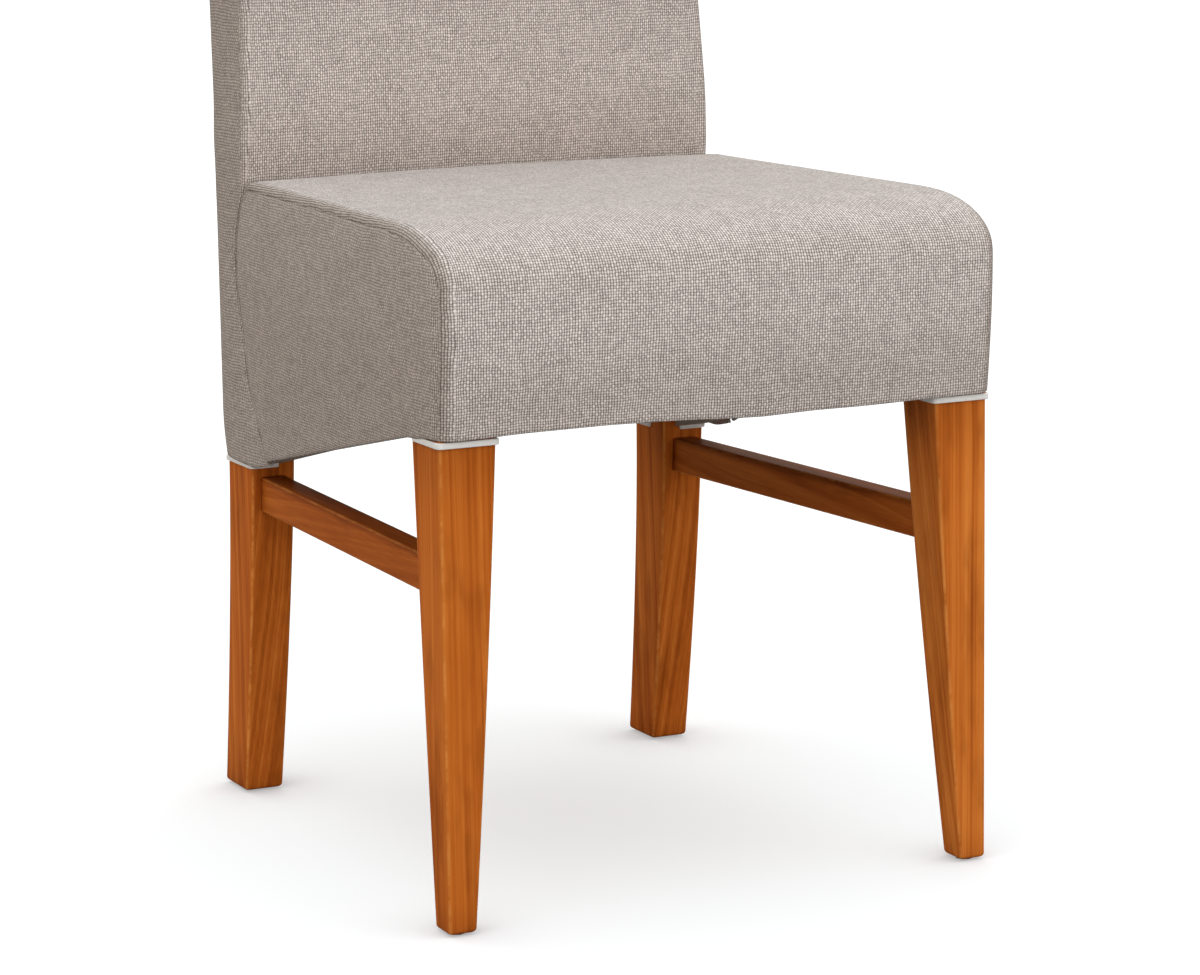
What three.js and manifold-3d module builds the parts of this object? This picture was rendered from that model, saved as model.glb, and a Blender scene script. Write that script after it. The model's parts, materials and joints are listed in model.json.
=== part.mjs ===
// A dining chair with four wooden legs, a padded seat and a padded back, all in millimetres.
// X runs across the chair, Y from the front to the rear and Z up from the floor.
// Left and right are as seen by someone who stands in front of the chair and looks at it.
import * as THREE from "three";
import { mergeVertices } from "three/addons/utils/BufferGeometryUtils.js";
import Module from "manifold-3d";

const wasm = await Module();
wasm.setup();

// The whole chair
const overallHeight = 975;
const seatHeight = 496;
const frontWidth = 433;
const rearWidth = 393;
const legSpacing = 413.5;

// Clearances between pieces, and how far a cutting tool runs past what it cuts
const clearance = 0.3;
const overrun = 12;

// Front legs, plumb on the outer and the front face and tapered on the other two
const frontLegWidth = 42.8;
const frontLegDepth = 48;
const frontFootWidth = 21;
const frontFootDepth = 24.5;
const taperFullnessShare = 0.2;
const edgeEase = 2;
const footRound = 3;

// Rear legs, each one piece of wood from the floor to the top of the back
const rearLegWidth = 35.6;
const rearLegDepth = 52.2;
const rearFootWidth = 31.4;
const rearFootDepth = 44.5;
const rearSplay = 28.6;
const splayPower = 1.45;
const postSlimDepth = 40;
const postSlimRun = 90;
const postTopDepth = 36;
const postTopWidth = 32;
const rakeAngle = 8.5;
const rakeStartDrop = 46;
const rakeBendRun = 110;
const leanAngle = 2.5;
const leanStartDrop = 11;

// Seat frame
const railThickness = 22;
const sideRailThickness = 25;
const frontRailHeight = 76;
const rearRailHeight = 85;
const tackingRailHeight = 25;
const hemFold = 4;
const sideHemDrop = 83.8;
const rearHemRise = 7.7;
const tenonLength = 15;
const tenonThickness = 10;
const tenonHeightShare = 0.6;
const cornerBlockReach = 50;
const cornerBlockHeight = 44;
const cornerBlockDrop = 6;

// Screws of the corner blocks
const screwRadius = 2.2;
const screwHeadRadius = 4.5;
const screwHeadHeight = 2.6;
const screwLength = 42;
const screwTip = 4;
const screwSpacing = 18;

// Side stretchers
const stretcherHeight = 27.5;
const stretcherThickness = 20;
const stretcherInset = 7;
const stretcherRise = 3;
const stretcherDrop = 1;
const stretcherTenonHeight = 17;
const stretcherTenonLength = 12;

// Back frame
const lowerRailHeight = 40;
const lowerRailRise = 12;
const topRailHeight = 52;
const backRailThickness = 22;

// Webbing
const strapWidth = 50;
const strapThickness = 2;
const strapEndInset = 4;
const longStrapPitch = 100;
const longStrapCount = 3;
const crossStrapPitch = 80;
const crossStrapCount = 4;
const strapRamp = 12;
const backStrapPitch = 90;
const backStrapMargin = 40;

// Padding and cloth
const coverWall = 3;
const seatCrown = 2;
const seatPadDepth = 59;
const frontHemReach = 5;
const frontSwell = 7.5;
const frontCrown = 3;
const sideBulge = 2.5;
const shoulderDepth = 105;
const shoulderDrop = 43;
const hemCornerRound = 6;
const frontCornerRound = 12;
const topEdgeRound = 9;
const topRearRound = 7;
const topRearStartShare = 0.6;
const seamEdgeRound = 2;
const seamBehindPost = 16;
const seamRoundDepth = 46.5;
const seamRoundDrop = 66;
const seamSetback = 64.5;
const seamSetbackShares = [0.08, 0.23, 0.34, 0.617];
const topSheetStop = 9;
const rearWadding = 3;
const rearTuck = 3.2;
const rearTuckRun = 36;
const rearCrown = 2;
const backThinness = 66;
const backSwell = 14;
const backSwellShares = [0, 0.47, 0.9, 1, 0.98, 0.85, 0.5];
const backFaceCrown = 5;
const frontLap = 12;
const backFrontRound = 6;
const backRearRound = 8;
const backHemRound = 5;
const backTopRound = 14;
const topPadding = 14;
const backPadRise = 5;
const dustCoverThickness = 1.2;

// White tape round the tops of the legs
const tapeThickness = 2;
const tapeHeight = 4.5;
const tapeWrapShare = 0.6;

// Glides under the feet
const glideRadius = 7;
const glideHeight = 1.4;
const glideEase = 0.5;
const nailRadius = 1.1;
const nailLength = 14;

// Places of the rings and points of the padding, as shares of the stretch that each divides
const wallShares = [0, 0.2, 0.45, 0.75];
const rollShares = [0, 0.2, 0.4, 0.6, 0.8, 1];
const topShares = [0.3, 0.6, 0.82, 0.93, 1];
const quarterShares = [0.25, 0.5, 0.75, 1];
const hemShares = [0.35, 0.7, 1];
const panelShares = [0.15, 0.5, 0.8];
const middleShares = [-0.7, -0.35, 0, 0.35, 0.7];
const faceShares = [-0.6, 0, 0.6];
const rearHemShares = [0.8, 0.72, 0, -0.72, -0.8];
const stripShares = [0.2, 0.45, 0.7];
const seamArcShares = [0, 0.383, 0.707, 0.924];
const riseShares = [0, 0.5, 1];
const bendShares = [0, 0.25, 0.5, 0.75, 1];
const rearLegShares = [0.15, 0.3, 0.5, 0.75, 1];
const roundAngles = [0, 30, 60, 90];
const cornerAngles = [0, 45, 90];

// Heights worked out from the sizes above
const seamHeight = seatHeight - seatCrown;
const padBase = seamHeight - seatPadDepth;
const railTop = padBase - 2 * strapThickness - 3 * clearance;
const frontHem = railTop - frontRailHeight - hemFold;
const rearHem = frontHem - sideHemDrop;
const middleRearHem = rearHem + rearHemRise;
const legClear = frontHem - clearance - tapeHeight;
const rearPlumb = legSpacing + rearLegDepth;
const coverRear = rearPlumb + 2 * clearance + rearWadding + coverWall;
const postTop = overallHeight - coverWall - topPadding - 2 * clearance;
const rakeStart = seatHeight - rakeStartDrop;
const rakeFull = rakeStart + rakeBendRun;
const leanStart = seatHeight - leanStartDrop;
const seamY = legSpacing + seamBehindPost;
const legFoot = glideHeight + clearance;
const degree = Math.PI / 180;
const { lerp, clamp } = THREE.MathUtils;

// Finishes, by name
const finishes = {
  wood: { color: 0xb4651f, roughness: 0.45, metalness: 0 },
  plainWood: { color: 0xd2b48c, roughness: 0.8, metalness: 0 },
  cloth: { color: 0xb7aca4, roughness: 0.95, metalness: 0 },
  foam: { color: 0xefe6c8, roughness: 1, metalness: 0 },
  webbing: { color: 0x3a3a3c, roughness: 0.9, metalness: 0 },
  tape: { color: 0xf2f2ee, roughness: 0.8, metalness: 0 },
  cambric: { color: 0x1d1d1f, roughness: 1, metalness: 0 },
  steel: { color: 0xb8bcc0, roughness: 0.35, metalness: 1 },
  nylon: { color: 0x4a3426, roughness: 0.6, metalness: 0 },
};

const chair = new THREE.Group();

function addPiece(name, geometry, finish) {
  const mesh = new THREE.Mesh(geometry, new THREE.MeshStandardMaterial(finishes[finish]));
  mesh.name = name;
  chair.add(mesh);
}

// Basic solids

function point(x, y, z) {
  return new THREE.Vector3(x, y, z);
}

function middleOf(points) {
  const sum = points.reduce((total, p) => total.add(p), point(0, 0, 0));
  return sum.divideScalar(points.length);
}

// Six times the volume inside a closed mesh, negative where its faces point inwards
function signedVolume(positions, index) {
  const corner = (n) => new THREE.Vector3().fromArray(positions, 3 * index[n]);
  let total = 0;
  for (let n = 0; n < index.length; n += 3) {
    total += corner(n).dot(corner(n + 1).cross(corner(n + 2)));
  }
  return total;
}

// A closed solid through a list of rings with the same number of points, with its two end rings
// closed by fans from their middles
function loft(rings) {
  const count = rings[0].length;
  const last = (rings.length - 1) * count;
  const middles = [middleOf(rings[0]), middleOf(rings[rings.length - 1])];
  const positions = [...rings.flat(), ...middles].flatMap((p) => p.toArray());
  const foot = rings.length * count;
  const index = [];
  for (let k = 0; k < count; k += 1) {
    const next = (k + 1) % count;
    for (let low = 0; low < last; low += count) {
      index.push(low + k, low + next, low + next + count);
      index.push(low + k, low + next + count, low + k + count);
    }
    index.push(next, k, foot);
    index.push(last + k, last + next, foot + 1);
  }
  if (signedVolume(positions, index) < 0) {
    index.reverse();
  }
  const geometry = new THREE.BufferGeometry();
  geometry.setAttribute("position", new THREE.Float32BufferAttribute(positions, 3));
  geometry.setIndex(index);
  return geometry;
}

// A six-sided solid: at(i, j, k) gives its corner for i, j and k of 0 or 1
function block(at) {
  const ring = (k) => [at(0, 0, k), at(1, 0, k), at(1, 1, k), at(0, 1, k)];
  return loft([ring(0), ring(1)]);
}

function span(low, high) {
  return block((i, j, k) => point(i ? high.x : low.x, j ? high.y : low.y, k ? high.z : low.z));
}

function shapeOf(outline) {
  return new THREE.Shape(outline.map(([a, b]) => new THREE.Vector2(a, b)));
}

// An outline drawn from above, as [x, y] pairs, raised from one height to another
function planPrism(outline, low, high) {
  const solid = new THREE.ExtrudeGeometry(shapeOf(outline), { depth: high - low, bevelEnabled: false });
  return solid.translate(0, 0, low);
}

// An outline seen from the side, as [y, z] pairs, carried across the chair about one x
function sidePrism(outline, middle, width) {
  const solid = new THREE.ExtrudeGeometry(shapeOf(outline), { depth: width, bevelEnabled: false });
  const turn = new THREE.Matrix4().makeBasis(point(0, 1, 0), point(0, 0, 1), point(1, 0, 0));
  return solid.applyMatrix4(turn).translate(middle - width / 2, 0, 0);
}

function solidOf(geometry) {
  const plain = geometry.clone();
  plain.deleteAttribute("normal");
  plain.deleteAttribute("uv");
  const merged = mergeVertices(plain);
  const vertProperties = merged.attributes.position.array;
  const triVerts = Uint32Array.from(merged.index.array);
  return new wasm.Manifold(new wasm.Mesh({ numProp: 3, vertProperties, triVerts }));
}

function geometryOf(solid) {
  const { vertProperties, triVerts } = solid.getMesh();
  const geometry = new THREE.BufferGeometry();
  geometry.setAttribute("position", new THREE.BufferAttribute(vertProperties, 3));
  geometry.setIndex(new THREE.BufferAttribute(triVerts, 1));
  return geometry;
}

function cut(geometry, tools) {
  return geometryOf(tools.reduce((solid, tool) => solid.subtract(solidOf(tool)), solidOf(geometry)));
}

function join(geometry, others) {
  return geometryOf(others.reduce((solid, other) => solid.add(solidOf(other)), solidOf(geometry)));
}

function common(geometry, other) {
  return geometryOf(solidOf(geometry).intersect(solidOf(other)));
}

// The curves that the frame and the padding share

// How far the back leans to the rear at a height, bending first and then straight
function rakeAt(z) {
  const bend = clamp(z - rakeStart, 0, rakeBendRun);
  const straight = Math.max(z - rakeFull, 0);
  return Math.tan(rakeAngle * degree) * (bend * bend / (2 * rakeBendRun) + straight);
}

// How far each side of the back leans towards the middle at a height
function leanAt(z) {
  return Math.tan(leanAngle * degree) * Math.max(z - leanStart, 0);
}

function postRear(z) {
  const splay = Math.pow(1 - Math.min(z / rearHem, 1), splayPower);
  return rearPlumb + rearSplay * splay + rakeAt(z);
}

function postDepth(z) {
  if (z < rearHem) {
    return lerp(rearFootDepth, rearLegDepth, z / rearHem);
  }
  const slimming = clamp((z - railTop) / postSlimRun, 0, 1);
  const thinning = Math.max(z - railTop - postSlimRun, 0) / (postTop - railTop - postSlimRun);
  return lerp(rearLegDepth, postSlimDepth, slimming) + (postTopDepth - postSlimDepth) * thinning;
}

function postFront(z) {
  return postRear(z) - postDepth(z);
}

function postOuter(z) {
  return rearWidth / 2 - leanAt(z);
}

function postInner(z) {
  const foot = Math.min(z / rearHem, 1);
  const upper = Math.max(z - railTop, 0) / (postTop - railTop);
  const width = lerp(rearFootWidth, rearLegWidth, foot) + (postTopWidth - rearLegWidth) * upper;
  return postOuter(z) - width;
}

// Heights at which every piece of the back has a ring, so that their faces stay parallel
function backLevels() {
  const bends = bendShares.map((share) => rakeStart + share * rakeBendRun);
  const upper = [1, 2, 3].map((step) => lerp(rakeFull, postTop, step / 3));
  const all = [...bends, ...upper, leanStart, railTop + postSlimRun];
  return all.sort((a, b) => a - b).filter((z, n) => n === 0 || z - all[n - 1] > edgeEase);
}

// Height of the cloth's edge along the chair's side
function hemAt(y) {
  const share = clamp((y - frontLegDepth) / (legSpacing - frontLegDepth), 0, 1);
  return frontHem - sideHemDrop * share;
}

// Half the seat frame's width at a depth, and half the width over the cloth
function frameHalf(y) {
  const share = (y - frontLegDepth) / (legSpacing - frontLegDepth);
  return lerp(frontWidth, rearWidth, clamp(share, 0, 1)) / 2;
}

function clothHalf(y) {
  const cover = clearance + coverWall;
  const share = (y - frontLegDepth) / (seamY - frontLegDepth);
  return lerp(frontWidth, rearWidth, clamp(share, 0, 1)) / 2 + cover;
}

// Joined beams: a body between two end faces, with a tenon on each end and the mortises for them.
// An end face is a function of two shares, across the beam and up it.

function tenonBox(end, along, halfThickness, halfHeight, out, back) {
  const middle = end(0.5, 0.5);
  const across = end(1, 0.5).sub(end(0, 0.5)).normalize();
  const up = end(0.5, 1).sub(end(0.5, 0)).normalize();
  return block((i, j, k) => middle.clone()
    .addScaledVector(across, i ? halfThickness : -halfThickness)
    .addScaledVector(up, j ? halfHeight : -halfHeight)
    .addScaledVector(along, k ? back : -out));
}

function beam(first, second, tenonHeights, length) {
  const corners = (end) => [end(0, 0), end(1, 0), end(1, 1), end(0, 1)];
  const along = second(0.5, 0.5).sub(first(0.5, 0.5)).normalize();
  const ends = [[first, along, tenonHeights[0]], [second, along.clone().negate(), tenonHeights[1]]];
  const tenons = ends.map(([end, inward, height]) =>
    tenonBox(end, inward, tenonThickness / 2, height / 2, length - clearance, tenonThickness));
  const mortises = ends.map(([end, inward, height]) =>
    tenonBox(end, inward, tenonThickness / 2 + clearance, height / 2 + clearance, length, tenonThickness));
  return { geometry: join(loft([corners(first), corners(second)]), tenons), mortises };
}

const sides = [["left", -1], ["right", 1]];

// A rail that runs straight across between the legs, from one height to another
function crossRail(halfWidthAt, faceAt, thickness, low, high) {
  const end = (side) => (u, v) => {
    const z = lerp(low, high, v);
    return point(side * (halfWidthAt(z) - clearance), faceAt(z) + thickness * u, z);
  };
  const height = (high - low) * tenonHeightShare;
  return beam(end(-1), end(1), [height, height], tenonLength);
}

const tackingBottom = middleRearHem + hemFold;

const crossRails = {
  front_rail: crossRail(() => frontWidth / 2 - frontLegWidth, () => 0, railThickness,
    railTop - frontRailHeight, railTop),
  rear_rail: crossRail(() => rearWidth / 2 - rearLegWidth, () => rearPlumb - railThickness, railThickness,
    railTop - rearRailHeight, railTop),
  rear_tacking_rail: crossRail(() => rearWidth / 2 - rearLegWidth, () => rearPlumb - railThickness,
    railThickness, tackingBottom, tackingBottom + tackingRailHeight),
  back_lower_rail: crossRail(postInner, (z) => postRear(z) - backRailThickness - edgeEase,
    backRailThickness, seatHeight + lowerRailRise, seatHeight + lowerRailRise + lowerRailHeight),
  back_top_rail: crossRail(postInner, (z) => postRear(z) - backRailThickness - edgeEase,
    backRailThickness, postTop - topRailHeight, postTop),
};

// A side rail, deep at the rear and shallow at the front
function sideRail(side) {
  const end = (y) => (u, v) => {
    const z = lerp(hemAt(y) + hemFold, railTop, v);
    return point(side * (frameHalf(y) - sideRailThickness * u), y, z);
  };
  const height = (y) => (railTop - hemAt(y) - hemFold) * tenonHeightShare;
  const front = frontLegDepth + clearance;
  const rear = legSpacing - clearance;
  return beam(end(front), end(rear), [height(front), height(rear)], tenonLength);
}

// Share of the full section that a front leg has at a height, a little fuller than a straight taper
function taperAt(z) {
  const share = Math.min(z / legClear, 1);
  return share + taperFullnessShare * share * (1 - share);
}

function frontDepthAt(z) {
  return lerp(frontFootDepth, frontLegDepth, taperAt(z));
}

function frontInnerAt(z) {
  return frontWidth / 2 - lerp(frontFootWidth, frontLegWidth, taperAt(z));
}

const stretcherTop = rearHem - clearance - tapeHeight - stretcherDrop;

function stretcher(side) {
  const outer = (half) => (u) => side * (half / 2 - stretcherInset - stretcherThickness * u);
  const height = (v, rise) => stretcherTop + rise - stretcherHeight * (1 - v);
  const front = (u, v) => {
    const z = height(v, stretcherRise);
    return point(outer(frontWidth)(u), frontDepthAt(z) + clearance, z);
  };
  const rear = (u, v) => {
    const z = height(v, 0);
    return point(outer(rearWidth)(u), postFront(z) - clearance, z);
  };
  const heights = [stretcherTenonHeight, stretcherTenonHeight];
  return beam(front, rear, heights, stretcherTenonLength);
}

// Corner blocks and their screws

// Inner face of a side rail at a depth
function railInner(y) {
  return frameHalf(y) - sideRailThickness;
}

// Outlines from above on the right-hand side; the left-hand ones are mirrored
function frontBlockOutline() {
  const legX = frontWidth / 2 - frontLegWidth - clearance;
  const legY = frontLegDepth + clearance;
  const railY = railThickness + clearance;
  const far = legY + cornerBlockReach;
  return [[legX - cornerBlockReach, railY], [legX, railY], [legX, legY],
    [railInner(legY) - clearance, legY], [railInner(far) - clearance, far]];
}

function rearBlockOutline() {
  const legX = rearWidth / 2 - rearLegWidth - clearance;
  const legY = legSpacing - clearance;
  const railY = rearPlumb - railThickness - clearance;
  const far = legY - cornerBlockReach;
  return [[legX - cornerBlockReach, railY], [legX, railY], [legX, legY],
    [railInner(legY) - clearance, legY], [railInner(far) - clearance, far]];
}

const blockOutlines = { front: frontBlockOutline(), rear: rearBlockOutline() };
const blockTop = railTop - cornerBlockDrop;
const blockBottom = blockTop - cornerBlockHeight;

// The middle of a block's slanted face and the way in from it, square to the face
function blockFace(outline, side) {
  const [ax, ay] = outline[0];
  const [bx, by] = outline[outline.length - 1];
  const middle = point(side * (ax + bx) / 2, (ay + by) / 2, (blockTop + blockBottom) / 2);
  const face = point(side * (bx - ax), by - ay, 0).normalize();
  const inward = point(-face.y, face.x, 0);
  const corner = point(side * outline[2][0], outline[2][1], middle.z);
  if (corner.sub(middle).dot(inward) < 0) {
    inward.negate();
  }
  return { middle, inward };
}

// Turned outlines, as radius and distance along the axis, drawn about the way in
function turned(profile, start, inward) {
  const sidesRound = 8;
  const outline = profile.map(([r, h]) => new THREE.Vector2(r, h));
  const geometry = new THREE.LatheGeometry(outline, sidesRound);
  const turn = new THREE.Quaternion().setFromUnitVectors(point(0, 1, 0), inward);
  return geometry.applyQuaternion(turn).translate(start.x, start.y, start.z);
}

function screwSolid(start, inward) {
  const profile = [[0, -screwHeadHeight - clearance], [screwHeadRadius, -screwHeadHeight - clearance],
    [screwHeadRadius, -clearance], [screwRadius, -clearance], [screwRadius, screwLength - screwTip],
    [0, screwLength]];
  return turned(profile, start, inward);
}

function screwHole(start, inward) {
  const radius = screwRadius + clearance;
  const end = screwLength + clearance;
  return turned([[0, -overrun], [radius, -overrun], [radius, end], [0, end]], start, inward);
}

function screwStarts(place, side) {
  const { middle, inward } = blockFace(blockOutlines[place], side);
  return [["lower", -0.5], ["upper", 0.5]].map(([level, share]) =>
    ({ level, inward, start: middle.clone().add(point(0, 0, share * screwSpacing)) }));
}

// Legs

// A rectangle with eased corners, from its limits across and along the chair
function easedSection(xs, ys, z, shrink) {
  const [x0, x1] = [Math.min(...xs) + shrink, Math.max(...xs) - shrink];
  const [y0, y1] = [Math.min(...ys) + shrink, Math.max(...ys) - shrink];
  return [point(x0 + edgeEase, y0, z), point(x1 - edgeEase, y0, z),
    point(x1, y0 + edgeEase, z), point(x1, y1 - edgeEase, z),
    point(x1 - edgeEase, y1, z), point(x0 + edgeEase, y1, z),
    point(x0, y1 - edgeEase, z), point(x0, y0 + edgeEase, z)];
}

function frontLeg(side) {
  const section = (z, shrink) => easedSection([side * frontWidth / 2, side * frontInnerAt(z)],
    [0, frontDepthAt(z)], z, shrink);
  const levels = quarterShares.map((share) => share * legClear);
  return loft([section(legFoot, footRound), section(legFoot + footRound, 0),
    ...levels.map((z) => section(z, 0)), section(railTop, 0)]);
}

function rearLeg(side) {
  const section = (z, shrink) => easedSection([side * postOuter(z), side * postInner(z)],
    [postFront(z), postRear(z)], z, shrink);
  const levels = rearLegShares.map((share) => share * rearHem);
  return loft([section(legFoot, footRound), section(legFoot + footRound, 0),
    ...levels.map((z) => section(z, 0)), section(railTop, 0), ...backLevels().map((z) => section(z, 0))]);
}

function footMiddle(place, side) {
  if (place === "front") {
    return point(side * (frontWidth / 2 + frontInnerAt(legFoot)) / 2, frontDepthAt(legFoot) / 2, 0);
  }
  const x = (postOuter(legFoot) + postInner(legFoot)) / 2;
  return point(side * x, (postFront(legFoot) + postRear(legFoot)) / 2, 0);
}

function glideSolid(start) {
  const profile = [[0, 0], [glideRadius - glideEase, 0], [glideRadius, glideEase],
    [glideRadius, glideHeight], [nailRadius, glideHeight], [nailRadius, nailLength],
    [0, nailLength + nailRadius]];
  return turned(profile, start, point(0, 0, 1));
}

function nailHole(start) {
  const radius = nailRadius + clearance;
  const end = nailLength + nailRadius + clearance;
  return turned([[0, 0], [radius, 0], [radius, end], [0, end]], start, point(0, 0, 1));
}

// White tape round the top of a leg, open towards the chair's middle and rear

function ringOutline(path, outerPath, side) {
  return [...outerPath, ...path.reverse()].map(([x, y]) => [side * x, y]);
}

function frontTape(side) {
  const [outer, inner] = [frontWidth / 2, frontWidth / 2 - frontLegWidth];
  const path = (gap) => [[outer + gap, frontLegDepth], [outer + gap, -gap], [inner - gap, -gap],
    [inner - gap, frontLegDepth * tapeWrapShare]];
  const outline = ringOutline(path(clearance), path(clearance + tapeThickness), side);
  return planPrism(outline, legClear, legClear + tapeHeight);
}

function rearTape(side) {
  const outer = rearWidth / 2;
  const reach = outer - rearLegWidth * tapeWrapShare;
  const low = rearHem - clearance - tapeHeight;
  const [front, rear] = [legSpacing - clearance, postRear(low)];
  const path = (gap) => [[reach, front - gap], [outer + gap, front - gap], [outer + gap, rear + gap],
    [reach, rear + gap]];
  const outline = ringOutline(path(clearance), path(clearance + tapeThickness), side);
  return planPrism(outline, low, low + tapeHeight);
}

// Webbing

// A strap seen from the side: its underside through the given points, and its thickness above
function strapOutline(underside) {
  const top = underside.map(([y, z]) => [y, z + strapThickness]);
  return [...underside, ...top.reverse()];
}

function crossStrapMiddle(n) {
  const centre = (frontLegDepth + legSpacing) / 2;
  return centre + (n - (crossStrapCount - 1) / 2) * crossStrapPitch;
}

const strapLevel = railTop + clearance;

// A strap from the front rail to the rear rail, over one cross strap and under the next
function longStrap(number) {
  const underside = [[strapEndInset, strapLevel], [railThickness, strapLevel]];
  for (let n = 0; n < crossStrapCount; n += 1) {
    const over = (n + number) % 2 === 0;
    const level = strapLevel + (over ? 1 : -1) * (strapThickness + clearance);
    const middle = crossStrapMiddle(n);
    const reach = strapWidth / 2 + clearance;
    underside.push([middle - reach, level], [middle + reach, level]);
  }
  underside.push([rearPlumb - railThickness, strapLevel], [rearPlumb - strapEndInset, strapLevel]);
  const x = (number - (longStrapCount - 1) / 2) * longStrapPitch;
  return sidePrism(strapOutline(underside), x, strapWidth);
}

// A flat strap from one side rail to the other
function crossStrap(number) {
  const middle = crossStrapMiddle(number);
  return block((i, j, k) => {
    const y = middle + (j - 0.5) * strapWidth;
    const x = (2 * i - 1) * (frameHalf(y) - strapEndInset);
    return point(x, y, strapLevel + k * strapThickness);
  });
}

// A strap across the fronts of the two posts
const lowStrap = rakeFull + backStrapMargin / 2 + strapWidth / 2;
const highStrap = postTop - backStrapMargin - strapWidth / 2;
const backStrapSteps = Math.floor((highStrap - lowStrap) / backStrapPitch);

function backStrap(number) {
  const middle = lerp(lowStrap, highStrap, number / backStrapSteps);
  return block((i, j, k) => {
    const z = middle + (k - 0.5) * strapWidth;
    const x = (2 * i - 1) * (postOuter(z) - strapEndInset);
    return point(x, postFront(z) - clearance - j * strapThickness, z);
  });
}

// The seat's skin

// The seat's outline from the side. Each point has its place, its way out, the radius that it
// rounds over with at the chair's sides, and how far it swells at the chair's middle. The hem
// and the rear stay open in the hollow that is cut out of the cover.
function seatOutline() {
  const points = [];
  const add = (y, z, out, round, crown, open) => points.push({ y, z, out, round, crown, open });
  const wallTop = seamHeight - shoulderDrop;
  for (const share of wallShares) {
    const reach = frontHemReach + frontSwell * Math.sin(share * Math.PI / 2);
    const round = lerp(hemCornerRound, frontCornerRound, Math.min(share * 2, 1));
    add(-reach, lerp(frontHem, wallTop, share), [-1, 0], round, frontCrown * share, share ? "" : "hem");
  }
  const front = frontHemReach + frontSwell;
  for (const share of rollShares) {
    const [s, c] = [Math.sin(share * Math.PI / 2), Math.cos(share * Math.PI / 2)];
    const out = point(0, -c / shoulderDepth, s / shoulderDrop).normalize();
    add(shoulderDepth * (1 - c) - front, wallTop + shoulderDrop * s, [out.y, out.z],
      lerp(frontCornerRound, topEdgeRound, share), lerp(frontCrown, seatCrown, share), "");
  }
  const [topFront, topRear] = [shoulderDepth - front, seamY - seamRoundDepth];
  for (const share of topShares) {
    const fade = Math.max(share - topRearStartShare, 0) / (1 - topRearStartShare);
    const round = lerp(topEdgeRound, topRearRound, fade * fade);
    add(lerp(topFront, topRear, share), seamHeight, [0, 1], round, seatCrown, "");
  }
  for (const share of quarterShares) {
    const [s, c] = [Math.sin(share * Math.PI / 2), Math.cos(share * Math.PI / 2)];
    add(topRear + seamRoundDepth * s, seamHeight - seamRoundDrop * (1 - c), [s, c], seamEdgeRound,
      0, "rear");
  }
  const [seamTop, seamFoot] = [seamHeight - seamRoundDrop, hemAt(seamY - seamSetback)];
  seamSetbackShares.forEach((share, n) => {
    const down = (n + 1) / (seamSetbackShares.length + 1);
    add(seamY - seamSetback * share, lerp(seamTop, seamFoot, down), [1, 0], seamEdgeRound, 0, "rear");
  });
  add(seamY - seamSetback, seamFoot, [1, 0], seamEdgeRound, 0, "corner");
  for (const share of hemShares) {
    const y = lerp(seamY - seamSetback, frontLegDepth, share);
    add(y, hemAt(y), [0, 0], 0, 0, "hem");
  }
  return points;
}

// The seat's outer surface, or one that lies inside it by an inset. Rings of the outline are
// carried across the chair: they round over at the sides, swell in the middle, and shrink to a
// point on each side panel, which bulges a little.
function seatSkin(inset) {
  const outline = seatOutline();
  const opening = inset > 0 ? overrun : -inset;
  const centre = { y: lerp(frontLegDepth, legSpacing, 0.5), z: (frontHem + seamHeight) / 2 };
  const place = (p, drawIn, swell) => {
    const move = swell - drawIn - inset;
    let y = p.y + p.out[0] * move;
    let z = p.z + p.out[1] * move;
    if (p.open === "rear" || p.open === "corner") {
      y = p.y + opening - p.out[0] * drawIn;
      z = p.z - p.out[1] * drawIn;
    }
    if (p.open === "hem" || p.open === "corner") {
      z = p.z - opening;
    }
    return { y, z, half: clothHalf(p.y) - inset };
  };
  const roundOf = (p) => Math.max(p.round - Math.max(inset, 0), 0);
  const roundRing = (side, angle) => outline.map((p) => {
    const round = roundOf(p);
    const at = place(p, round * (1 - Math.sin(angle)), 0);
    return point(side * (at.half - round * (1 - Math.cos(angle))), at.y, at.z);
  });
  const middleRing = (share) => outline.map((p) => {
    const at = place(p, 0, p.crown * (1 - share * share));
    return point(share * (at.half - roundOf(p)), at.y, at.z);
  });
  const panelRing = (side, share) => roundRing(side, 0).map((p) => {
    const y = lerp(centre.y, p.y, share);
    const half = clothHalf(y) - inset + sideBulge * (1 - share * share);
    return point(side * half, y, lerp(centre.z, p.z, share));
  });
  const half = (side) => [...panelShares.map((share) => panelRing(side, share)),
    ...roundAngles.map((angle) => roundRing(side, angle * degree))];
  return loft([...half(-1), ...middleShares.map((share) => middleRing(share)), ...half(1).reverse()]);
}

// The back's skin

function sharesAt(shares, t) {
  const step = clamp(t, 0, 1) * (shares.length - 1);
  const low = Math.min(Math.floor(step), shares.length - 2);
  return lerp(shares[low], shares[low + 1], step - low);
}

// Where the back meets the seat's side panel, going down from the seat's top
function seamLine(z) {
  const [seamTop, seamFoot] = [seamHeight - seamRoundDrop, hemAt(seamY - seamSetback)];
  if (z > seamTop) {
    const s = clamp((z - seamTop) / seamRoundDrop, 0, 1);
    return seamY - seamRoundDepth * (1 - Math.sqrt(1 - s * s));
  }
  return seamY - seamSetback * sharesAt([0, ...seamSetbackShares, 1], (seamTop - z) / (seamTop - seamFoot));
}

function backRear(z) {
  const tuck = clamp((middleRearHem + rearTuckRun - z) / rearTuckRun, 0, 1);
  return coverRear + rakeAt(z) - rearTuck * tuck * tuck;
}

function backFront(z) {
  const share = (z - seamHeight) / (overallHeight - seamHeight);
  return backRear(z) - backThinness - backSwell * sharesAt(backSwellShares, share);
}

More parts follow.
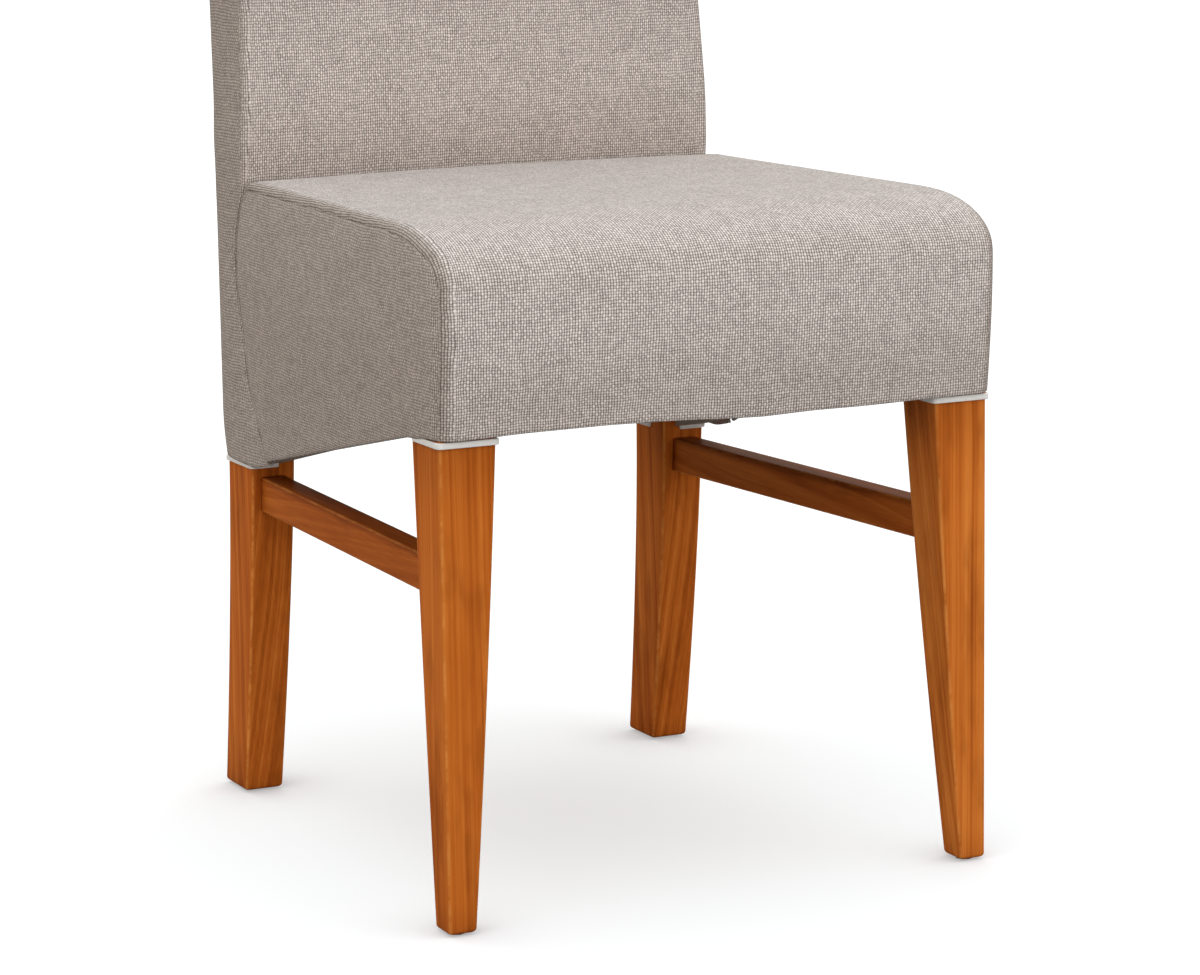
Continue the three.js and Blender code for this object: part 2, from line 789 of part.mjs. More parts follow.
// Lowest height at which the back's front is cloth; below it the seat fills the back's front
const frontStart = seamHeight - frontLap;

// One ring of the back's skin, seen from above: rounded corners, a crowned front and a rear face
// whose hem rises between the legs
function backRing(level, inset) {
  const opening = inset > 0 ? overrun : -inset;
  const open = level.z < frontStart;
  const hemZ = (x, y) => (Math.abs(x) < rearWidth / 2 - rearLegWidth && y > rearPlumb
    ? middleRearHem : hemAt(y)) - opening;
  const front = open ? Math.max(seamLine(level.z), seamY - seamSetback) - opening
    : backFront(level.z) + inset + level.drawIn;
  const rear = backRear(level.z) - inset - level.drawIn;
  const halfAt = (y) => clothHalf(y) - leanAt(level.z) - inset - level.drawIn;
  const low = clamp((level.z - rearHem) / rearTuckRun, 0, 1);
  const rounds = {
    front: Math.max((open ? seamEdgeRound : backFrontRound) - inset, clearance),
    rear: Math.max(lerp(backHemRound, backRearRound, low) - inset, clearance),
  };
  const corner = (side, y, way, round, angle) => {
    const [s, c] = [Math.sin(angle * degree), Math.cos(angle * degree)];
    return [side * (halfAt(y) - round * (1 - s)), y - way * round * (1 - c)];
  };
  const swellShare = Math.sin(Math.PI * clamp((level.z - frontStart) / (overallHeight - frontStart), 0, 1));
  const across = (y, share, crown) => [share * (halfAt(y) - backRearRound), y + crown * (1 - share * share)];
  const crown = open ? 0 : -backFaceCrown * swellShare;
  const bow = level.z > frontStart ? rearCrown * swellShare : 0;
  const outline = [
    ...cornerAngles.map((angle) => corner(1, front, -1, rounds.front, angle)),
    [halfAt((front + rear) / 2), (front + rear) / 2],
    ...cornerAngles.map((angle) => corner(1, rear, 1, rounds.rear, angle)).reverse(),
    ...rearHemShares.map((share) => across(rear, share, bow)),
    ...cornerAngles.map((angle) => corner(-1, rear, 1, rounds.rear, angle)),
    [-halfAt((front + rear) / 2), (front + rear) / 2],
    ...cornerAngles.map((angle) => corner(-1, front, -1, rounds.front, angle)).reverse(),
    ...faceShares.map((share) => across(front, share, crown)),
  ];
  return outline.map(([x, y]) => point(x, y, lerp(hemZ(x, y), level.z, level.rise)));
}

// The back's outer surface, or one that lies inside it by an inset
function backSkin(inset) {
  const low = rearHem + rearTuckRun;
  const foot = hemAt(seamY - seamSetback);
  const levels = riseShares.map((rise) => ({ z: lerp(foot, low, rise), rise, drawIn: 0 }));
  const seamSteps = stripShares.map((share) => lerp(low, seamHeight - seamRoundDrop, share));
  const roundSteps = seamArcShares.map((share) => seamHeight - seamRoundDrop * (1 - share));
  const upper = [...seamSteps, ...roundSteps, frontStart - clearance / 2, frontStart + clearance / 2,
    seamHeight, ...backLevels()].sort((a, b) => a - b);
  const shoulder = overallHeight - backTopRound;
  for (const z of upper.filter((height) => height < shoulder - backTopRound)) {
    levels.push({ z, rise: 1, drawIn: 0 });
  }
  const round = Math.max(backTopRound - inset, clearance);
  for (const angle of roundAngles) {
    const [s, c] = [Math.sin(angle * degree), Math.cos(angle * degree)];
    levels.push({ z: overallHeight - inset - round * (1 - s), rise: 1, drawIn: round * (1 - c) });
  }
  return loft(levels.map((level) => backRing(level, inset)));
}

// Covers and pads

// Space between the side walls behind the seat's top sheet, where the posts stand
function behindTopSheet() {
  const half = rearWidth / 2 + clearance;
  return span(point(-half, legSpacing - topSheetStop, 0), point(half, coverRear * 2, overallHeight));
}

function seatPad() {
  const wide = frontWidth;
  const rear = legSpacing - topSheetStop - clearance;
  const zone = span(point(-wide, -wide, padBase), point(wide, rear, overallHeight));
  return common(seatSkin(coverWall + clearance), zone);
}

// The back's pad lies in front of the posts and their straps, and over the tops of the posts
function backPad() {
  const [near, far] = [-overallHeight, overallHeight];
  const bottom = seatHeight + backPadRise;
  const behind = (z) => postFront(z) - strapThickness - 2 * clearance;
  const line = [bottom, ...backLevels().filter((z) => z > bottom + clearance)].map((z) => [behind(z), z]);
  const lid = postTop + clearance;
  line[line.length - 1] = [behind(postTop), lid];
  const outline = [[near, bottom], ...line, [far, lid], [far, overallHeight], [near, overallHeight]];
  return common(backSkin(coverWall + clearance), sidePrism(outline, 0, frontWidth));
}

// A thin layer of wadding between the posts and the cloth at the rear
function rearPad() {
  const low = rearHem + rearTuckRun;
  const levels = [low, railTop, ...backLevels()];
  return loft(levels.map((z) => {
    const half = postOuter(z) - backRearRound;
    const [front, rear] = [postRear(z) + clearance, backRear(z) - coverWall - clearance];
    return [point(-half, front, z), point(half, front, z), point(half, rear, z), point(-half, rear, z)];
  }));
}

// A thin black cloth under the seat, between the side rails and round the legs
function dustCover() {
  const frontZ = railTop - frontRailHeight - clearance - dustCoverThickness;
  const rearZ = tackingBottom - clearance - dustCoverThickness;
  const [first, last] = [railThickness / 2, rearPlumb - railThickness / 2];
  const underside = [[first, frontZ], [railThickness, frontZ],
    [rearPlumb - railThickness, rearZ], [last, rearZ]];
  const top = underside.map(([y, z]) => [y, z + dustCoverThickness]);
  const sheet = sidePrism([...underside, ...top.reverse()], 0, frontWidth);
  const [frontX, rearX] = [frontWidth / 2 - frontLegWidth, rearWidth / 2 - rearLegWidth];
  const [frontY, rearY] = [frontLegDepth, legSpacing];
  const half = [[frontX, first - overrun], [frontX, frontY], [railInner(frontY), frontY],
    [railInner(rearY), rearY], [rearX, rearY], [rearX, last + overrun]]
    .map(([x, y], n) => [x - 2 * clearance, y + [0, 2, 2, -2, -2, 0][n] * clearance]);
  const mirrored = half.map(([x, y]) => [-x, y]).reverse();
  return common(sheet, planPrism([...half, ...mirrored], 0, railTop));
}

// Building the chair

for (const [name, rail] of Object.entries(crossRails)) {
  addPiece(name, rail.geometry, "plainWood");
}
sides.forEach(([word, side], n) => {
  const rail = sideRail(side);
  const bar = stretcher(side);
  addPiece(`side_rail_${word}`, rail.geometry, "plainWood");
  addPiece(`side_stretcher_${word}`, bar.geometry, "wood");
  const joints = {
    front: [rail.mortises[0], bar.mortises[0], crossRails.front_rail.mortises[n]],
    rear: [rail.mortises[1], bar.mortises[1], crossRails.rear_rail.mortises[n],
      crossRails.rear_tacking_rail.mortises[n], crossRails.back_lower_rail.mortises[n],
      crossRails.back_top_rail.mortises[n]],
  };
  for (const [place, leg] of [["front", frontLeg(side)], ["rear", rearLeg(side)]]) {
    const screws = screwStarts(place, side);
    const holes = screws.map(({ start, inward }) => screwHole(start, inward));
    const foot = footMiddle(place, side);
    addPiece(`${place}_leg_${word}`, cut(leg, [...joints[place], ...holes, nailHole(foot)]), "wood");
    addPiece(`foot_glide_${place}_${word}`, glideSolid(foot), "nylon");
    const outline = blockOutlines[place].map(([x, y]) => [side * x, y]);
    const body = planPrism(outline, blockBottom, blockTop);
    addPiece(`corner_block_${place}_${word}`, cut(body, holes), "plainWood");
    for (const { level, start, inward } of screws) {
      addPiece(`corner_screw_${place}_${word}_${level}`, screwSolid(start, inward), "steel");
    }
  }
  addPiece(`leg_tape_front_${word}`, frontTape(side), "tape");
  addPiece(`leg_tape_rear_${word}`, rearTape(side), "tape");
});

for (let n = 0; n < longStrapCount; n += 1) {
  addPiece(`seat_strap_long_${n + 1}`, longStrap(n), "webbing");
}
for (let n = 0; n < crossStrapCount; n += 1) {
  addPiece(`seat_strap_cross_${n + 1}`, crossStrap(n), "webbing");
}
for (let n = 0; n <= backStrapSteps; n += 1) {
  addPiece(`back_strap_${n + 1}`, backStrap(n), "webbing");
}

addPiece("seat_pad", seatPad(), "foam");
addPiece("back_pad", backPad(), "foam");
addPiece("rear_wadding", rearPad(), "foam");
addPiece("seat_cover", cut(seatSkin(0), [seatSkin(coverWall), behindTopSheet()]), "cloth");
addPiece("back_cover", cut(backSkin(0), [backSkin(coverWall), seatSkin(-clearance)]), "cloth");
addPiece("dust_cover", dustCover(), "cambric");

// The chair stands with the middle of its outer box over the origin
const outerBox = new THREE.Box3().setFromObject(chair);
chair.position.y = -(outerBox.min.y + outerBox.max.y) / 2;

export default chair;
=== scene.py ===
"""Looks of an upholstered dining chair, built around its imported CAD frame.

The chair has tapered wooden legs, two side stretchers, and a seat and a tall back covered in a
plain-weave fabric. Shapes are worked out in chair millimetres: x across the chair, y rearward
from the front face of the front legs, z up from the floor. Each piece is moved into the frame,
in metres, when its mesh is made.
"""

import json
import logging
import math
from dataclasses import dataclass, field
from enum import Enum
from typing import Callable, Optional, Sequence

import bmesh
import bpy
import numpy as np
from mathutils import Matrix, Vector

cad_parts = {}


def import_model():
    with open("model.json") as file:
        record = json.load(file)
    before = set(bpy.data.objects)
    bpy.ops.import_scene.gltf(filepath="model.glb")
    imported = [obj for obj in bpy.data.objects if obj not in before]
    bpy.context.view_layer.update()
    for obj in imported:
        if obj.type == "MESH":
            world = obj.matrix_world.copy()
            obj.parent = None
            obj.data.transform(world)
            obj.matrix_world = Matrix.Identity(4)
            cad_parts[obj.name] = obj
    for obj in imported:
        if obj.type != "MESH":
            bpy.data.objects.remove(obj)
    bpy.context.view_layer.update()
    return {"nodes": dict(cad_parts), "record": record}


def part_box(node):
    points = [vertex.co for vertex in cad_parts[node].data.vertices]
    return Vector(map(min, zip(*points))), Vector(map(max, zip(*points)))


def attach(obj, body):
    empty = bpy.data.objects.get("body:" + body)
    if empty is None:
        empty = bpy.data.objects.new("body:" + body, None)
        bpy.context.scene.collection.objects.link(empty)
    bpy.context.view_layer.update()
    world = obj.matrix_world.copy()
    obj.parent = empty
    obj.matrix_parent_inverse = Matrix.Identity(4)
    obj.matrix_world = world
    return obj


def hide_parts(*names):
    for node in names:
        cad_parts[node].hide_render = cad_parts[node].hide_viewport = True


logging.basicConfig(level=logging.INFO, format="%(message)s")
LOG = logging.getLogger("chair")

MM = 0.001
TINY = 1e-9
RIGHT_ANGLE = math.pi / 2
Array = np.ndarray
Socket = bpy.types.NodeSocket
Node = bpy.types.Node
Tree = bpy.types.NodeTree
Piece = bpy.types.Object
Material = bpy.types.Material
Colour = tuple[float, float, float]


# Small numeric helpers

def smoothstep(low: float, high: float, value: Array) -> Array:
    """Rises smoothly from 0 at low to 1 at high: 3t^2 - 2t^3 of the share t between them."""
    share = np.clip((np.asarray(value, float) - low) / (high - low), 0.0, 1.0)
    return share * share * (3.0 - 2.0 * share)


def arc_lengths(points: Array) -> Array:
    """Distance along a polyline at each of its points."""
    steps = np.linalg.norm(np.diff(points, axis=0), axis=1)
    return np.concatenate([[0.0], np.cumsum(steps)])


def resample(points: Array, count: int) -> Array:
    """Spaces points evenly along a polyline.

    Args:
        points: The polyline's points, one per row.
        count: How many points to return, both ends included.

    Returns:
        The points at count even values of the distance along the line.
    """
    along = arc_lengths(points)
    even = np.linspace(0.0, along[-1], count)
    return np.stack([np.interp(even, along, column) for column in points.T], axis=1)


def smooth_curve(points: Sequence[tuple[float, float]], steps: int = 12) -> Array:
    """Passes a Catmull-Rom curve through points.

    Args:
        points: The points to pass through.
        steps: Pieces between each two points.

    Returns:
        The curve as a polyline: 0.5 (2b + (c-a)t + (2a-5b+4c-d)t^2 + (3b-a-3c+d)t^3) per span.
    """
    knots = np.asarray(points, float)
    padded = np.vstack([2 * knots[0] - knots[1], knots, 2 * knots[-1] - knots[-2]])
    a, b, c, d = padded[:-3], padded[1:-2], padded[2:-1], padded[3:]
    t = np.linspace(0.0, 1.0, steps, endpoint=False)[None, :, None]
    a, b, c, d = (k[:, None, :] for k in (a, b, c, d))
    spans = 0.5 * (2 * b + (c - a) * t + (2 * a - 5 * b + 4 * c - d) * t ** 2
                   + (3 * b - a - 3 * c + d) * t ** 3)
    return np.vstack([spans.reshape(-1, knots.shape[1]), knots[-1:]])


# Sizes of the chair

@dataclass(frozen=True)
class ChairSizes:
    """Sizes of the frame and the padding, in millimetres, equal to those of the CAD part.

    Only the lower edges of the cloth at the side and the rear differ from the part's, by up to
    5 mm, as the padding hangs there.
    """

    overall_height: float = 975.0
    seam_height: float = 494.0
    seat_crown: float = 2.0
    front_width: float = 433.0
    rear_width: float = 393.0
    leg_spacing: float = 413.5
    front_leg: tuple[float, float] = (42.8, 48.0)
    front_foot: tuple[float, float] = (21.0, 24.5)
    rear_leg: tuple[float, float] = (35.6, 52.2)
    rear_foot: tuple[float, float] = (31.4, 44.5)
    rear_splay: float = 28.6
    splay_power: float = 1.45
    front_hem: float = 350.1
    side_hem: tuple[float, float] = (346.2, 267.2)
    rear_hem: float = 271.0
    middle_rear_hem: float = 276.5
    rail_top: float = 430.1
    leg_clear: float = 345.3
    cover: float = 3.3
    seam_y: float = 429.5
    cover_rear: float = 472.3
    rake_start: float = 450.0
    rake_run: float = 110.0
    rake_angle: float = 8.5
    lean_start: float = 485.0
    lean_angle: float = 2.5
    foot_level: float = 1.7
    leg_swell: float = 0.2
    post_rear: float = 465.7
    post_run: float = 90.0
    post_depth: float = 40.0
    post_top: float = 957.4
    post_thinner: float = 4.0
    post_narrower: float = 3.6
    hem_turn: tuple[float, float] = (8.0, 46.0)
    cloth_gap: float = 0.3
    tape_end: float = 42.0
    rear_tape_drop: float = 3.4

    def rake(self, z: Array) -> Array:
        """How far the back leans rearward: tan(angle) times u^2/2L on the bend, then straight.

        Args:
            z: Heights above the floor.

        Returns:
            How far it has gone at each height.
        """
        slope = math.tan(math.radians(self.rake_angle))
        bend = np.clip(z - self.rake_start, 0.0, self.rake_run)
        straight = np.maximum(z - self.rake_start - self.rake_run, 0.0)
        return slope * (bend ** 2 / (2 * self.rake_run) + straight)

    def lean(self, z: Array) -> Array:
        """How far each side of the back leans inward, growing straight above the seat."""
        return math.tan(math.radians(self.lean_angle)) * np.maximum(z - self.lean_start, 0.0)

    def hem(self, y: Array) -> Array:
        """Height of the fabric's lower edge along the side, falling straight to the rear.

        Args:
            y: Places along the side.

        Returns:
            Its height at each place.
        """
        share = np.clip((y - self.front_leg[1]) / (self.leg_spacing - self.front_leg[1]), 0.0, 1.0)
        turn = 1.0 - smoothstep(*self.hem_turn, y)
        corner = (self.front_hem - self.side_hem[0]) * turn
        return self.side_hem[0] + corner + (self.side_hem[1] - self.side_hem[0]) * share

    def cloth_half(self, y: Array) -> Array:
        """Half the width over the fabric, narrowing straight from the front legs to the seam."""
        share = np.clip((y - self.front_leg[1]) / (self.seam_y - self.front_leg[1]), 0.0, 1.0)
        return (self.front_width + (self.rear_width - self.front_width) * share) / 2 + self.cover


SIZES = ChairSizes()


# Meshes from grids

@dataclass
class Patch:
    """A grid of surface points with what its material reads.

    Attributes:
        points: Positions in chair millimetres, rows by columns by 3.
        weave: Cloth or grain coordinates in metres, rows by columns by 2.
        seam: Distance to the nearest seam and distance along it, in metres.
        keep: Which of the grid's cells become faces; all of them if left out.
        tone: Wear on wood or painted shade on cloth, and the nearest seam's strength or the wood's
            darkening, both from 0 to 1.
    """

    points: Array
    weave: Array
    seam: Optional[Array] = None
    keep: Optional[Array] = None
    tone: Optional[Array] = None

    def mirrored(self) -> "Patch":
        """The same patch on the other side of the chair, with its faces turned to match.

        Returns:
            A new patch.
        """
        flip = lambda grid: None if grid is None else grid[:, ::-1].copy()
        points = flip(self.points)
        points[..., 0] *= -1
        return Patch(points, flip(self.weave), flip(self.seam), flip(self.keep), flip(self.tone))


class MeshMaker:
    """Collects patches and turns them into one Blender object with its origin at the frame's."""

    def __init__(self, name: str) -> None:
        """Starts with nothing.

        Args:
            name: The object's name.
        """
        self.name = name
        self.points: list[Array] = []
        self.faces: list[Array] = []
        self.layers: dict[str, list[Array]] = {"weave": [], "seam": [], "tone": []}
        self.count = 0

    def add(self, patch: Patch, ring: bool = False) -> "MeshMaker":
        """Adds a patch.

        Args:
            patch: The grid to add.
            ring: Whether its last column joins its first.

        Returns:
            This maker, so that calls can follow each other.
        """
        rows, columns = patch.points.shape[:2]
        index = np.arange(rows * columns).reshape(rows, columns) + self.count
        if ring:
            index = np.hstack([index, index[:, :1]])
        quads = np.stack([index[:-1, :-1], index[:-1, 1:], index[1:, 1:], index[1:, :-1]], axis=-1)
        if patch.keep is not None:
            quads = quads[patch.keep]
        self.faces.append(quads.reshape(-1, 4))
        self.points.append(patch.points.reshape(-1, 3))
        total = rows * columns
        far = np.full((total, 2), 1.0)
        self.layers["weave"].append(patch.weave.reshape(-1, 2))
        self.layers["seam"].append(far if patch.seam is None else patch.seam.reshape(-1, 2))
        plain = np.zeros((total, 2))
        self.layers["tone"].append(plain if patch.tone is None else patch.tone.reshape(-1, 2))
        self.count += total
        return self

    def build(self, front: float, weld: float = 0.02) -> Piece:
        """Makes the object.

        Args:
            front: The frame's y at the chair's front, in metres.
            weld: Points closer than this many millimetres become one.

        Returns:
            The new object, smooth shaded, linked to the scene.
        """
        points = np.vstack(self.points) * MM
        points[:, 1] += front
        faces = np.vstack(self.faces)
        mesh = bpy.data.meshes.new(self.name)
        mesh.from_pydata(points, [], faces)
        corners = np.empty(len(mesh.loops), dtype=np.int32)
        mesh.loops.foreach_get("vertex_index", corners)
        for layer, values in self.layers.items():
            uv = mesh.uv_layers.new(name=layer)
            uv.data.foreach_set("uv", np.vstack(values)[corners].astype(np.float32).ravel())
        made = bmesh.new()
        made.from_mesh(mesh)
        bmesh.ops.remove_doubles(made, verts=made.verts, dist=weld * MM)
        loose = [vertex for vertex in made.verts if not vertex.link_faces]
        bmesh.ops.delete(made, geom=loose, context="VERTS")
        bmesh.ops.recalc_face_normals(made, faces=made.faces)
        made.to_mesh(mesh)
        made.free()
        mesh.shade_smooth()
        piece = bpy.data.objects.new(self.name, mesh)
        bpy.context.scene.collection.objects.link(piece)
        LOG.info("%s: %d points, %d faces", self.name, len(mesh.vertices), len(mesh.polygons))
        return piece


def bake(piece: Piece) -> Piece:
    """Applies a piece's modifiers to its mesh.

    Args:
        piece: The piece.

    Returns:
        The same piece.
    """
    graph = bpy.context.evaluated_depsgraph_get()
    mesh = bpy.data.meshes.new_from_object(piece.evaluated_get(graph), depsgraph=graph)
    piece.modifiers.clear()
    piece.data = mesh
    return piece


def thicken(piece: Piece, thickness: float) -> Piece:
    """Gives an open skin a thickness inward, with closed edges.

    Args:
        piece: The open skin, faces outward.
        thickness: Thickness in millimetres.

    Returns:
        The piece, closed.
    """
    solid = piece.modifiers.new("thickness", "SOLIDIFY")
    solid.thickness = thickness * MM
    solid.offset = -1.0
    solid.use_rim = True
    solid.use_quality_normals = True
    return bake(piece)


@dataclass(frozen=True)
class Settling:
    """How the cloth settles over its padding.

    Attributes:
        growth: How much larger the cloth is than its skin, as a share of its length.
        cap: The farthest that a point may move, in millimetres.
        hold: How firmly the padding holds each point, from 0 to 1.
        sewn: Points nearer a seam than this, in metres, stay where they are.
        frames: Steps of the simulation.
        quality: Substeps in each step.
        mass: Mass of each point in kilograms.
        tension: Stiffness against stretching and squeezing.
        shear: Stiffness against shearing.
        bending: Stiffness against bending.
        pressure: How hard the padding blows the cloth out.
        passes: How often the moves are averaged with their neighbours'.
        thickness: Thickness of the cloth in millimetres.
    """

    growth: float = 0.006
    cap: float = 3.0
    hold: float = 0.62
    sewn: float = 0.001
    frames: int = 20
    quality: int = 6
    mass: float = 0.3
    tension: float = 15.0
    shear: float = 5.0
    bending: float = 0.3
    pressure: float = 4.0
    passes: int = 10
    thickness: float = 2.2


SETTLING = Settling()


def relax(piece: Piece, way: Settling) -> Piece:
    """Lets an open skin settle as cloth over its padding, held at its seams and its edges.

    The cloth is a little larger than the skin and is blown out gently while the padding holds
    each point softly, so it swells beside the seams. A move of d is kept as cap tanh(d / cap),
    and the moves are then averaged with their neighbours', which leaves only broad folds.

    Args:
        piece: The skin.
        way: How it settles.
    """
    mesh, scene = piece.data, bpy.context.scene
    corners = np.empty(len(mesh.loops), dtype=np.int32)
    mesh.loops.foreach_get("vertex_index", corners)
    seam = np.empty(len(mesh.loops) * 2, dtype=np.float32)
    mesh.uv_layers["seam"].data.foreach_get("uv", seam)
    gap = np.full(len(mesh.vertices), 1.0)
    np.minimum.at(gap, corners, seam[::2])
    ends = np.empty(len(mesh.edges) * 2, dtype=np.int32)
    mesh.edges.foreach_get("vertices", ends)
    sides = np.empty(len(mesh.loops), dtype=np.int32)
    mesh.loops.foreach_get("edge_index", sides)
    rim = ends.reshape(-1, 2)[np.bincount(sides, minlength=len(mesh.edges)) == 1]
    gap[rim.ravel()] = 0.0
    sewn = gap < way.sewn
    group = piece.vertex_groups.new(name="held")
    group.add(np.arange(len(gap)).tolist(), way.hold, "REPLACE")
    group.add(np.nonzero(sewn)[0].tolist(), 1.0, "REPLACE")
    cloth = piece.modifiers.new("cloth", "CLOTH")
    settings = cloth.settings
    settings.quality = way.quality
    settings.mass = way.mass
    settings.tension_stiffness = settings.compression_stiffness = way.tension
    settings.shear_stiffness, settings.bending_stiffness = way.shear, way.bending
    settings.use_pressure, settings.uniform_pressure_force = True, way.pressure
    settings.vertex_group_mass = group.name
    settings.shrink_min = -way.growth
    settings.effector_weights.gravity = 0.0
    cloth.point_cache.frame_start, cloth.point_cache.frame_end = 1, way.frames
    start = np.empty(len(gap) * 3)
    mesh.vertices.foreach_get("co", start)
    for step in range(1, way.frames + 1):
        scene.frame_set(step)
    after = np.empty(len(gap) * 3)
    settled = piece.evaluated_get(bpy.context.evaluated_depsgraph_get()).data
    settled.vertices.foreach_get("co", after)
    piece.modifiers.clear()
    scene.frame_set(1)
    move = (after - start).reshape(-1, 3)
    far = np.maximum(np.linalg.norm(move, axis=1, keepdims=True), TINY)
    cap = way.cap * MM
    kept = move / far * cap * np.tanh(far / cap)
    first, second = ends.reshape(-1, 2).T
    links = np.bincount(ends, minlength=len(gap))[:, None]
    for _ in range(way.passes):
        total = np.zeros_like(kept)
        np.add.at(total, first, kept[second])
        np.add.at(total, second, kept[first])
        kept = np.where(sewn[:, None], kept, (kept + total / links) / 2)
    LOG.info("%s: cloth moved by up to %.2f mm, %.2f mm in the middle", piece.name,
             np.linalg.norm(kept, axis=1).max() / MM, np.median(far) / MM)
    mesh.vertices.foreach_set("co", (start.reshape(-1, 3) + kept).ravel())
    mesh.update()
    piece.vertex_groups.clear()
    return piece


def soften(piece: Piece, levels: int = 1) -> Piece:
    """Rounds a mesh with a subdivision surface, the same in view and render.

    Args:
        piece: The piece.
        levels: How often each face is split.

    Returns:
        The same piece.
    """
    smooth = piece.modifiers.new("smooth", "SUBSURF")
    smooth.levels = smooth.render_levels = levels
    smooth.uv_smooth = "PRESERVE_BOUNDARIES"
    return bake(piece)


# Shader graphs

_GROUPS: dict[str, Tree] = {}


def shared(name: str, maker: Callable[[], Tree]) -> Tree:
    """Makes a node group the first time and gives it back after that.

    Args:
        name: The group's name.
        maker: What builds it.

    Returns:
        The group.
    """
    if name not in _GROUPS:
        _GROUPS[name] = maker()
    return _GROUPS[name]


class Graph:
    """A short way to write shader nodes in one node tree."""

    def __init__(self, tree: Tree) -> None:
        """Takes the node tree that it adds to."""
        self.tree = tree

    def node(self, kind: str, inputs: Optional[dict] = None, **settings: object) -> Node:
        """Adds a node.

        Args:
            kind: The node's type name.
            inputs: Values or sockets by input name or number.
            **settings: Properties of the node.

        Returns:
            The new node.
        """
        made = self.tree.nodes.new(kind)
        for key, value in settings.items():
            setattr(made, key, value)
        for key, value in (inputs or {}).items():
            self.feed(made.inputs[key], value)
        return made

    def feed(self, socket: Socket, value: object) -> None:
        """Links a socket to an input, or sets the input's value.

        Args:
            socket: The input.
            value: A socket, or the value to set.
        """
        if isinstance(value, Socket):
            self.tree.links.new(value, socket)
        else:
            socket.default_value = value

    def math(self, operation: str, *values: object, clamp: bool = False) -> Socket:
        """A maths node's result for up to three numbers or sockets.

        Args:
            operation: The node's operation.
            *values: The numbers or sockets.
            clamp: Whether the result is kept from 0 to 1.

        Returns:
            The result.
        """
        made = self.node("ShaderNodeMath", operation=operation, use_clamp=clamp)
        for number, value in enumerate(values):
            self.feed(made.inputs[number], value)
        return made.outputs[0]

    def ramp(self, value: Socket, low: float, high: float, start: float = 0.0,
             end: float = 1.0) -> Socket:
        """A smooth step of a value from low to high, scaled to run from start to end.

        Args:
            value: What is stepped.
            low: Where the step begins.
            high: Where it ends.
            start: The result below low.
            end: The result above high.

        Returns:
            The result.
        """
        made = self.node("ShaderNodeMapRange", {0: value, 1: low, 2: high, 3: start, 4: end},
                         interpolation_type="SMOOTHSTEP")
        return made.outputs[0]

    def mix(self, factor: object, first: object, second: object,
            blend: str = "MIX") -> Socket:
        """Mixes two colours by a factor.

        Args:
            factor: How much of it shows, 0 to 1.
            first: The colour below.
            second: The colour laid over it.
            blend: How they mix.

        Returns:
            The mixed colour.
        """
        made = self.node("ShaderNodeMix", data_type="RGBA", blend_type=blend)
        self.feed(made.inputs[0], factor)
        self.feed(made.inputs[6], first)
        self.feed(made.inputs[7], second)
        return made.outputs[2]

    def noise(self, vector: Socket, scale: float, detail: float = 2.0,
              rough: float = 0.5) -> Socket:
        """Fractal noise from 0 to 1 at a vector.

        Args:
            vector: Where it is read.
            scale: Features in each unit.
            detail: How many octaves.
            rough: How much each octave counts.

        Returns:
            The noise.
        """
        made = self.node("ShaderNodeTexNoise", {"Vector": vector, "Scale": scale,
                                                "Detail": detail, "Roughness": rough})
        return made.outputs[0]

    def vector(self, x: object = 0.0, y: object = 0.0, z: object = 0.0) -> Socket:
        """A vector from three numbers or sockets."""
        return self.node("ShaderNodeCombineXYZ", {0: x, 1: y, 2: z}).outputs[0]

    def parts(self, vector: Socket) -> list[Socket]:
        """The three parts of a vector."""
        return list(self.node("ShaderNodeSeparateXYZ", {0: vector}).outputs)

    def scaled(self, vector: Socket, factors: tuple[float, float, float]) -> Socket:
        """A vector times fixed factors."""
        made = self.node("ShaderNodeVectorMath", {0: vector, 1: factors}, operation="MULTIPLY")
        return made.outputs[0]

    def group(self, name: str, maker: Callable[[], Tree],
              *values: object) -> Node:
        """Adds a node group, made the first time it is used, and feeds its inputs in order.

        Args:
            name: The group's name.
            maker: What builds it.
            *values: What its inputs get.

        Returns:
            The group's node.
        """
        made = self.node("ShaderNodeGroup", node_tree=shared(name, maker))
        for socket, value in zip(made.inputs, values):
            self.feed(socket, value)
        return made

    def uv(self, name: str) -> Socket:
        """Texture coordinates from one of the mesh's layers."""
        return self.node("ShaderNodeUVMap", uv_map=name).outputs[0]


def new_group(name: str, inputs: dict[str, str], outputs: dict[str, str]) -> tuple:
    """Starts a node group.

    Args:
        name: The group's name.
        inputs: Socket types by name.
        outputs: Socket types by name.

    Returns:
        The group, a graph on it, its input sockets by name and its output node.
    """
    group = bpy.data.node_groups.new(name, "ShaderNodeTree")
    for label, kind in inputs.items():
        group.interface.new_socket(name=label, in_out="INPUT", socket_type=kind)
    for label, kind in outputs.items():
        group.interface.new_socket(name=label, in_out="OUTPUT", socket_type=kind)
    graph = Graph(group)
    entry = graph.node("NodeGroupInput")
    leave = graph.node("NodeGroupOutput")
    return group, graph, entry.outputs, leave


